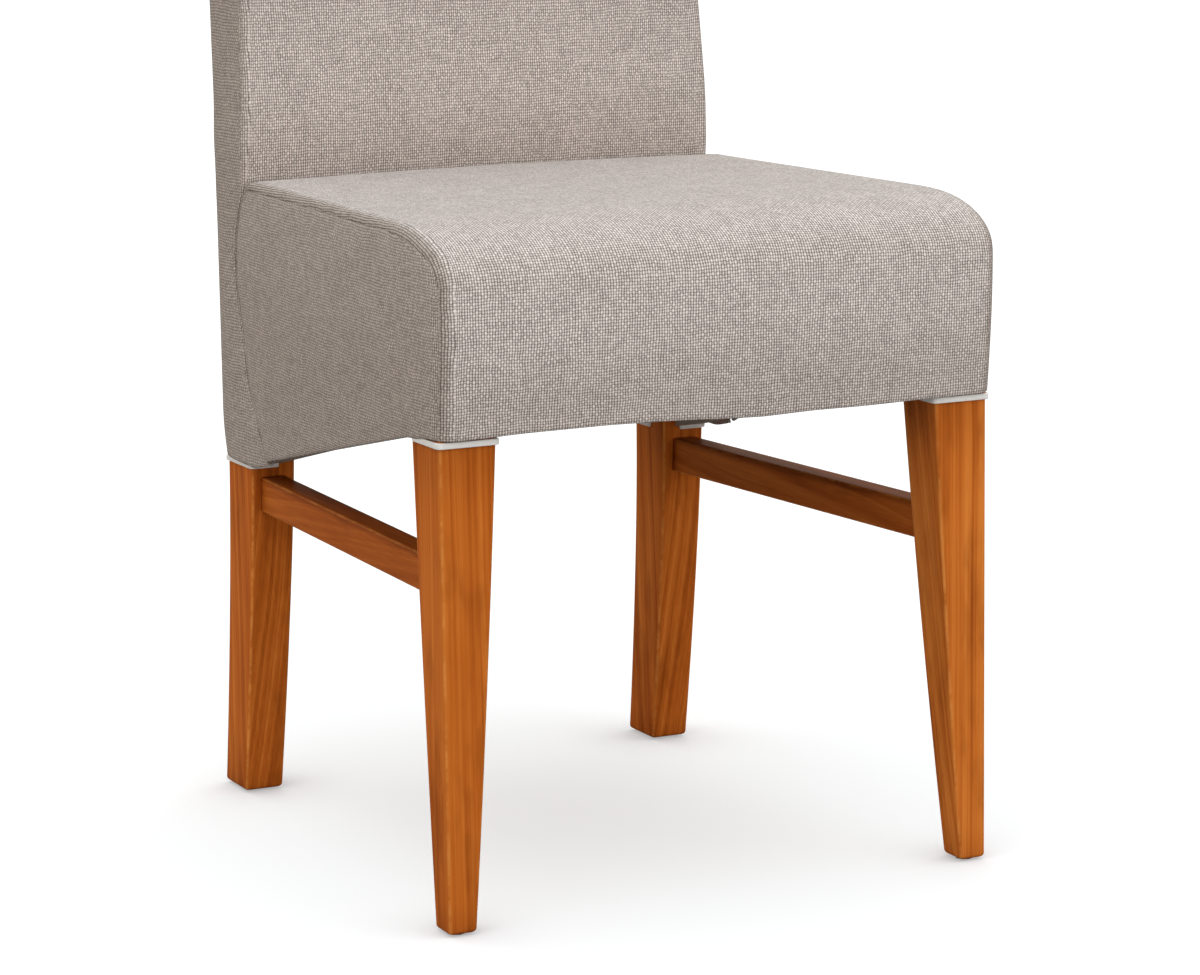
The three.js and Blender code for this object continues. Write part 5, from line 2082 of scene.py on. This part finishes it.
@dataclass
class Studio:
    """White floor, soft lights and the camera.

    Attributes:
        position: Camera position in metres, with y from the front legs' front face.
        yaw: Turn to the right of straight ahead, in degrees.
        pitch: Upward tilt in degrees.
        roll: Roll in degrees.
        lens: Focal length in millimetres on a sensor 36 mm wide.
        fill: Light from all round.
        above: Light added overhead, falling as the square of the height.
        ahead: Light added from the front.
        lit: Where the light from the front comes from.
        reach: Half the floor's width, and its front and rear edges, in metres.
        pale: Colour of the floor where the camera sees it.
        bounce: Colour of the floor that lights the chair.
        glow: Strength of the white added to the floor, and its share.
        painted_foot_shadow: How dark the painted shadow on the floor is right beside a foot, and
            how far it reaches.
    """

    position: tuple[float, float, float] = (-1.298264, -2.510055, 0.808755)
    yaw: float = 25.603
    pitch: float = -10.194
    roll: float = -0.834
    lens: float = 122.04
    fill: Colour = (0.89, 0.76, 0.63)
    above: Colour = (0.12, 0.40, 0.58)
    ahead: Colour = (0.63, 0.67, 0.745)
    lit: tuple[float, float, float] = (-0.15, -0.95, 0.0)
    reach: tuple[float, float, float] = (12.0, -9.0, 16.0)
    pale: Colour = (0.93, 0.948, 0.98)
    bounce: Colour = (0.3, 0.3, 0.3)
    glow: tuple[float, float] = (1.8, 0.2)
    painted_foot_shadow: tuple[float, float] = (0.72, 0.07)

    def camera(self, front: float) -> Piece:
        """Places the camera.

        Args:
            front: The frame's y at the chair's front, in metres.

        Returns:
            The camera.
        """
        yaw, pitch, roll = (math.radians(angle) for angle in (self.yaw, self.pitch, self.roll))
        ahead = Vector((math.sin(yaw) * math.cos(pitch), math.cos(yaw) * math.cos(pitch),
                        math.sin(pitch)))
        right = Vector((math.cos(yaw), -math.sin(yaw), 0.0))
        up = right.cross(ahead)
        x = right * math.cos(roll) + up * math.sin(roll)
        y = up * math.cos(roll) - right * math.sin(roll)
        data = bpy.data.cameras.new("camera")
        data.lens, data.sensor_width, data.sensor_fit = self.lens, 36.0, "HORIZONTAL"
        camera = bpy.data.objects.new("camera", data)
        turn = Matrix((x, y, -ahead)).transposed().to_4x4()
        place = Vector(self.position) + Vector((0.0, front, 0.0))
        camera.matrix_world = Matrix.Translation(place) @ turn
        bpy.context.scene.collection.objects.link(camera)
        bpy.context.scene.camera = camera
        return camera

    def floor(self) -> Piece:
        """Lays a large pale floor that shows white to the camera, keeps soft shadows and has a
        painted shadow by the feet.

        Returns:
            The floor.
        """
        mesh = bpy.data.meshes.new("floor")
        x, near, far = self.reach
        mesh.from_pydata([(-x, near, 0), (x, near, 0), (x, far, 0), (-x, far, 0)], [],
                         [(0, 1, 2, 3)])
        floor = bpy.data.objects.new("floor", mesh)
        bpy.context.scene.collection.objects.link(floor)
        material = bpy.data.materials.new("floor")
        material.use_nodes = True
        g = Graph(material.node_tree)
        shader = material.node_tree.nodes["Principled BSDF"]
        leave = material.node_tree.nodes["Material Output"]
        shader.inputs["Base Color"].default_value = rgba(self.bounce)
        shader.inputs["Roughness"].default_value = 0.9
        shader.inputs["Specular IOR Level"].default_value = 0.0
        strength, share = self.glow
        glow = g.node("ShaderNodeEmission", {"Color": (1, 1, 1, 1), "Strength": strength})
        # Painted shadow: ambient occlusion darkens the floor's colour beside the feet, as the
        # camera sees it.
        shade, distance = self.painted_foot_shadow
        open_above = g.node("ShaderNodeAmbientOcclusion", {"Distance": distance}, samples=8)
        painted_shadow = g.ramp(open_above.outputs["AO"], 0.45, 1.0, shade, 1.0)
        tint = g.mix(1.0, rgba(self.pale), g.vector(painted_shadow, painted_shadow, painted_shadow), "MULTIPLY")
        pale = g.node("ShaderNodeBsdfDiffuse", {"Color": tint})
        path = g.node("ShaderNodeLightPath")
        white = g.node("ShaderNodeMixShader", {0: share, 1: pale.outputs[0],
                                               2: glow.outputs[0]})
        both = g.node("ShaderNodeMixShader", {0: path.outputs["Is Camera Ray"],
                                              1: shader.outputs[0], 2: white.outputs[0]})
        g.feed(leave.inputs["Surface"], both.outputs[0])
        floor.data.materials.append(material)
        return floor

    def dome(self) -> None:
        """Lights the scene evenly from all round, white to the camera."""
        world = bpy.data.worlds.new("studio")
        bpy.context.scene.world = world
        world.use_nodes = True
        g = Graph(world.node_tree)
        background = world.node_tree.nodes["Background"]
        direction = g.node("ShaderNodeTexCoord").outputs["Generated"]
        facing = g.node("ShaderNodeVectorMath", {0: direction, 1: self.lit},
                        operation="DOT_PRODUCT")
        lobe = g.math("MAXIMUM", facing.outputs["Value"], 0.0)
        height = g.parts(direction)[2]
        high = g.math("MULTIPLY", height, height)
        ahead = g.mix(1.0, rgba(self.ahead), g.vector(lobe, lobe, lobe), "MULTIPLY")
        above = g.mix(1.0, rgba(self.above), g.vector(high, high, high), "MULTIPLY")
        light = g.mix(1.0, rgba(self.fill), g.mix(1.0, ahead, above, "ADD"), "ADD")
        path = g.node("ShaderNodeLightPath")
        seen = g.mix(path.outputs["Is Camera Ray"], light, (1, 1, 1, 1))
        g.feed(background.inputs["Color"], seen)

    def build(self, front: float) -> None:
        """Sets the whole studio up.

        Args:
            front: The frame's y at the chair's front, in metres.
        """
        self.camera(front)
        self.floor()
        self.dome()
        bpy.context.scene.view_settings.view_transform = "Standard"


# The chair

@dataclass
class Palette:
    """Every finish of the chair, made once."""

    cloth: WovenCloth = WovenCloth("cover_cloth", 0.9)
    back_cloth: WovenCloth = WovenCloth("back_cloth", 0.9, pitch=(0.00185, 0.0023))
    tape: Mottled = Mottled("white_tape", 0.85, (0.88, 0.88, 0.86), (0.8, 0.8, 0.78), 900.0,
                            0.0002)
    leg: StainedWood = StainedWood("stained_wood")
    pale_leg: StainedWood = StainedWood("stained_wood_pale", middle=(0.62, 0.165, 0.025),
                                        light=(0.8, 0.27, 0.05), offset=(0.7, 0.2, 0.1))
    stretcher: StainedWood = StainedWood("stained_wood_across", middle=(0.42, 0.1, 0.013),
                                         light=(0.58, 0.165, 0.028), turn=True,
                                         offset=(0.3, 0.1, 0.2))
    # The frame's wood and the foam: a greyed brown near the cloth's, so the rail showing under the
    # hem reads as painted shade.
    raw: Mottled = Mottled("raw_wood", 0.9, (0.36, 0.29, 0.23), (0.28, 0.22, 0.17), 60.0, 0.0001)
    webbing: Mottled = Mottled("webbing", 0.9, (0.03, 0.03, 0.03), (0.06, 0.06, 0.06), 700.0,
                               0.0002)
    lining: Mottled = Mottled("lining", 0.95, (0.02, 0.02, 0.02), (0.04, 0.04, 0.04), 900.0, 0.0001)
    steel: Mottled = Mottled("steel", 0.4, (0.6, 0.6, 0.62), (0.5, 0.5, 0.5), 300.0, 0.00003, 1.0)
    nylon: Mottled = Mottled("nylon", 0.5, (0.07, 0.04, 0.02), (0.05, 0.03, 0.015), 300.0, 0.00005)


SLOT_FINISHES = {"frame_wood": "raw", "webbing": "webbing", "dust_cloth": "lining",
                 "screw_steel": "steel", "glide_nylon": "nylon", "stained_wood": "leg",
                 "white_tape": "tape", "cover_fabric": "cloth", "foam": "raw"}


def finish_frame(frame: dict, palette: Palette) -> None:
    """Gives every CAD node its finish by the slot that the record names for it.

    Args:
        palette: The finishes.
    """
    made = {word: getattr(palette, word).material() for word in set(SLOT_FINISHES.values())}
    for entry in frame["record"]["subparts"]:
        piece = frame["nodes"][entry["node"]]
        piece.data.materials.clear()
        piece.data.materials.append(made[SLOT_FINISHES[entry["material_slot"]]])


def main() -> None:
    """Builds the chair's looks around its frame."""
    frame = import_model()
    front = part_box("front_leg_left")[0][1]
    Studio().build(front)
    palette = Palette()
    finish_frame(frame, palette)
    leg, across = palette.leg.material(), palette.stretcher.material()
    pale = palette.pale_leg.material()
    cloth, tape = palette.cloth.material(), palette.tape.material()
    for side in Side:
        word = side.name.lower()
        FrontLeg(side, "front_leg_" + word, SIZES.rail_top).build(
            front, pale if side is Side.RIGHT else leg)
        RearLeg(side, "rear_leg_" + word, SIZES.post_top).build(front, leg)
        Stretcher(side).build(front, across)
    for band in leg_tapes():
        band.build(front, tape)
    SeatCushion().build(front, cloth)
    BackCushion().build(front, palette.back_cloth.material())


if __name__ == "__main__":
    main()
